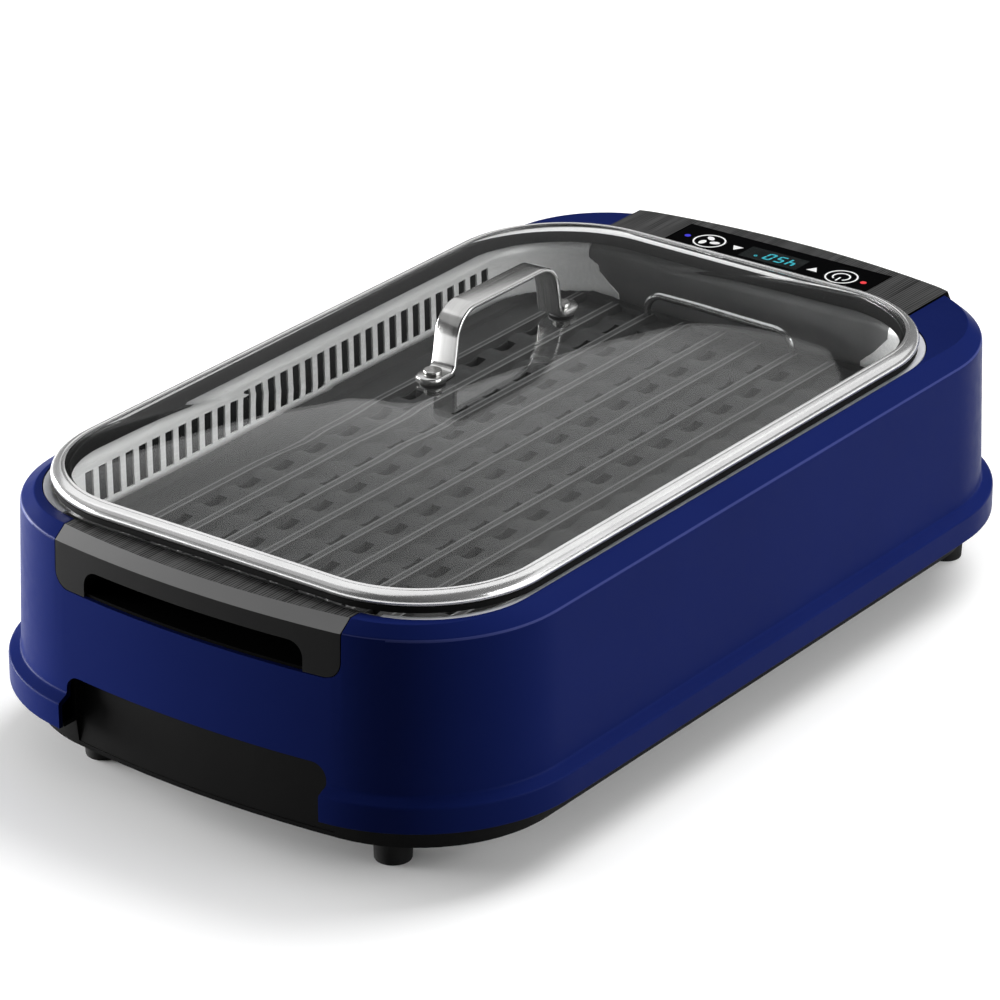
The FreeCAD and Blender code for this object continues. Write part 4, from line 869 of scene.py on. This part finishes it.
keep("base_pan", black, 0.5)
keep_grip("front_grip", -1.0)
keep_grip("control_panel", 1.0)
keep("display_glass", screen, 0.2)
keep("display_module", black)
keep("control_board", board)
keep("power_inlet", black, 0.3)
keep("inner_tub", tub, 0.4)
keep("tub_floor", tub, 0.4)
for name in ("vent_panel_left", "vent_panel_right"):
    paint(keep(name, vent_steel, 0.15), (vent_flange_painted_reflection,), vent_finish)
keep("element_socket", black, 0.4)
keep("element_plug", black, 0.6)
keep("fan_housing", fan_black, 0.3)
keep("fan_guard", fan_black, 0.2)
keep("fan_impeller", fan_black)
keep("fan_motor", motor_steel, 0.4)
keep("drip_tray", tray_steel, 0.2)
keep("heating_element", element_steel)
keep("element_clamps", tray_steel, 0.2)
keep("plug_pins", screw_steel, 0.3)
keep("plate_bail_near", wire_steel)
keep("plate_bail_far", wire_steel)
keep("lid_screws", screw_steel, 0.4)
keep("lid_nuts", screw_steel, 0.3)
keep("lid_washers", washer_soft, 0.2)
for name in ("foot_screws", "base_screws", "tub_screws", "clamp_screws"):
    keep(name, screw_steel, 0.3)
for name in ("foot_near_left", "foot_near_right", "foot_far_left", "foot_far_right"):
    keep(name, rubber, 0.6)


# Floor, lamps and world

def light_path_mix(tree, out_socket, shown, unseen):
    """Sends the shown shader to camera, glossy and transmission rays and the unseen one to the rest."""
    path = tree.nodes.new("ShaderNodeLightPath")
    first = tree.nodes.new("ShaderNodeMath")
    first.operation = "MAXIMUM"
    second = tree.nodes.new("ShaderNodeMath")
    second.operation = "MAXIMUM"
    mix = tree.nodes.new("ShaderNodeMixShader")
    tree.links.new(path.outputs["Is Camera Ray"], first.inputs[0])
    tree.links.new(path.outputs["Is Glossy Ray"], first.inputs[1])
    tree.links.new(first.outputs[0], second.inputs[0])
    tree.links.new(path.outputs["Is Transmission Ray"], second.inputs[1])
    tree.links.new(second.outputs[0], mix.inputs[0])
    tree.links.new(unseen, mix.inputs[1])
    tree.links.new(shown, mix.inputs[2])
    tree.links.new(mix.outputs[0], out_socket)


def make_floor():
    """White ground whose glow is darkened close to the object by ambient occlusion, a painted contact shadow;
    it hardly lights the object from below.
    """
    mesh = bpy.data.meshes.new("floor")
    size = 30.0
    corners = [(-size, -size, 0), (size, -size, 0), (size, size, 0), (-size, size, 0)]
    mesh.from_pydata(corners, [], [(0, 1, 2, 3)])
    floor = bpy.data.objects.new("floor", mesh)
    scene.collection.objects.link(floor)
    mat = bpy.data.materials.new("floor_white")
    mat.use_nodes = True
    tree = mat.node_tree
    tree.nodes.clear()
    out = tree.nodes.new("ShaderNodeOutputMaterial")
    diffuse = tree.nodes.new("ShaderNodeBsdfDiffuse")
    diffuse.inputs["Color"].default_value = (0.95, 0.95, 0.95, 1.0)
    glow = tree.nodes.new("ShaderNodeEmission")
    glow.inputs["Strength"].default_value = 0.36
    # Ambient occlusion darkens the glow near the object: a painted contact shadow
    near = tree.nodes.new("ShaderNodeAmbientOcclusion")
    near.samples = 12
    near.inputs["Distance"].default_value = 0.09
    tree.links.new(near.outputs["Color"], glow.inputs["Color"])
    both = tree.nodes.new("ShaderNodeAddShader")
    dim = tree.nodes.new("ShaderNodeBsdfDiffuse")
    dim.inputs["Color"].default_value = (0.08, 0.08, 0.08, 1.0)
    tree.links.new(diffuse.outputs[0], both.inputs[0])
    tree.links.new(glow.outputs[0], both.inputs[1])
    light_path_mix(tree, out.inputs["Surface"], both.outputs[0], dim.outputs[0])
    mesh.materials.append(mat)


def make_flag():
    """Grey card that only shows in reflections, for a dark line along the glass edge."""
    mesh = bpy.data.meshes.new("flag")
    a, b, top = (1.75, 0.25), (0.25, 1.75), 0.25
    mesh.from_pydata([(*a, 0.002), (*b, 0.002), (*b, top), (*a, top)], [], [(0, 1, 2, 3)])
    flag = bpy.data.objects.new("flag", mesh)
    scene.collection.objects.link(flag)
    cloth = plastic("flag_cloth", srgb(90, 90, 90), 0.9, 0.02, 300.0, 0.00005)
    mesh.materials.append(cloth.mat)
    flag.visible_camera = flag.visible_diffuse = flag.visible_shadow = False


def make_world():
    world = bpy.data.worlds.new("studio")
    scene.world = world
    world.use_nodes = True
    fill = world.node_tree.nodes["Background"]
    fill.inputs["Color"].default_value = (1.0, 1.0, 1.0, 1.0)
    fill.inputs["Strength"].default_value = 0.055


def aim(obj, towards):
    obj.rotation_mode = "QUATERNION"
    obj.rotation_quaternion = Vector(towards).to_track_quat("-Z", "Y")


def sun(name, source, strength, angle):
    data = bpy.data.lights.new(name, "SUN")
    data.energy = strength
    data.angle = math.radians(angle)
    obj = bpy.data.objects.new(name, data)
    scene.collection.objects.link(obj)
    aim(obj, [-c for c in source])
    obj.visible_glossy = False
    obj.visible_transmission = False


def area_lamp(name, size, power):
    data = bpy.data.lights.new(name, "AREA")
    data.shape = "RECTANGLE"
    data.size, data.size_y = size
    data.energy = power
    obj = bpy.data.objects.new(name, data)
    scene.collection.objects.link(obj)
    return obj


def soft_box(name, source, distance, size, power):
    """Lamp that far from the object in the direction of source, aimed at it."""
    obj = area_lamp(name, size, power)
    direction = Vector(source).normalized()
    obj.location = direction * distance + Vector((0, 0, 0.08))
    aim(obj, -direction)
    return obj


def gloss_box(name, source, distance, size, radiance):
    """Soft box that only shows in polished surfaces."""
    obj = soft_box(name, source, distance, size, radiance * math.pi * size[0] * size[1])
    obj.visible_diffuse = False
    obj.visible_transmission = False


def ceiling_box(name, centre, turn, size, radiance):
    """Large panel overhead that only shows in polished and glass surfaces."""
    obj = area_lamp(name, size, radiance * math.pi * size[0] * size[1])
    obj.location = centre
    obj.rotation_euler = (0.0, 0.0, turn)
    obj.visible_diffuse = False


def make_camera():
    data = bpy.data.cameras.new("camera")
    data.lens = 180.0
    data.sensor_width = 36.0
    data.clip_start, data.clip_end = 0.05, 100.0
    cam = bpy.data.objects.new("camera", data)
    scene.collection.objects.link(cam)
    azimuth, elevation = math.radians(-53.574), math.radians(24.662)
    back = Vector((math.sin(azimuth) * math.cos(elevation), -math.cos(azimuth) * math.cos(elevation),
                   math.sin(elevation)))
    cam.location = metres([-1829.2, -1338.5, 1118.3])
    aim(cam, -back)
    scene.camera = cam


make_floor()
make_flag()
make_world()
sun("key_above", (0.60, -0.06, 0.79), 2.25, 38.0)
soft_box("left_box", (-0.34, 0.94, 0.08), 1.6, (1.4, 0.35), 60.0)
soft_box("right_box", (0.22, -0.94, 0.26), 1.3, (0.9, 0.7), 10.5)
ceiling_box("top_panel", (0.696, 0.957, 1.34), math.radians(75.0), (2.5, 2.2), 1.05)
gloss_box("rim_box_side", (0.73, -0.42, 0.50), 1.8, (1.5, 0.8), 0.85)
gloss_box("rim_box_end", (-0.44, 0.55, 0.70), 1.8, (1.5, 0.8), 0.4)
make_camera()
scene.view_settings.view_transform = "Standard"
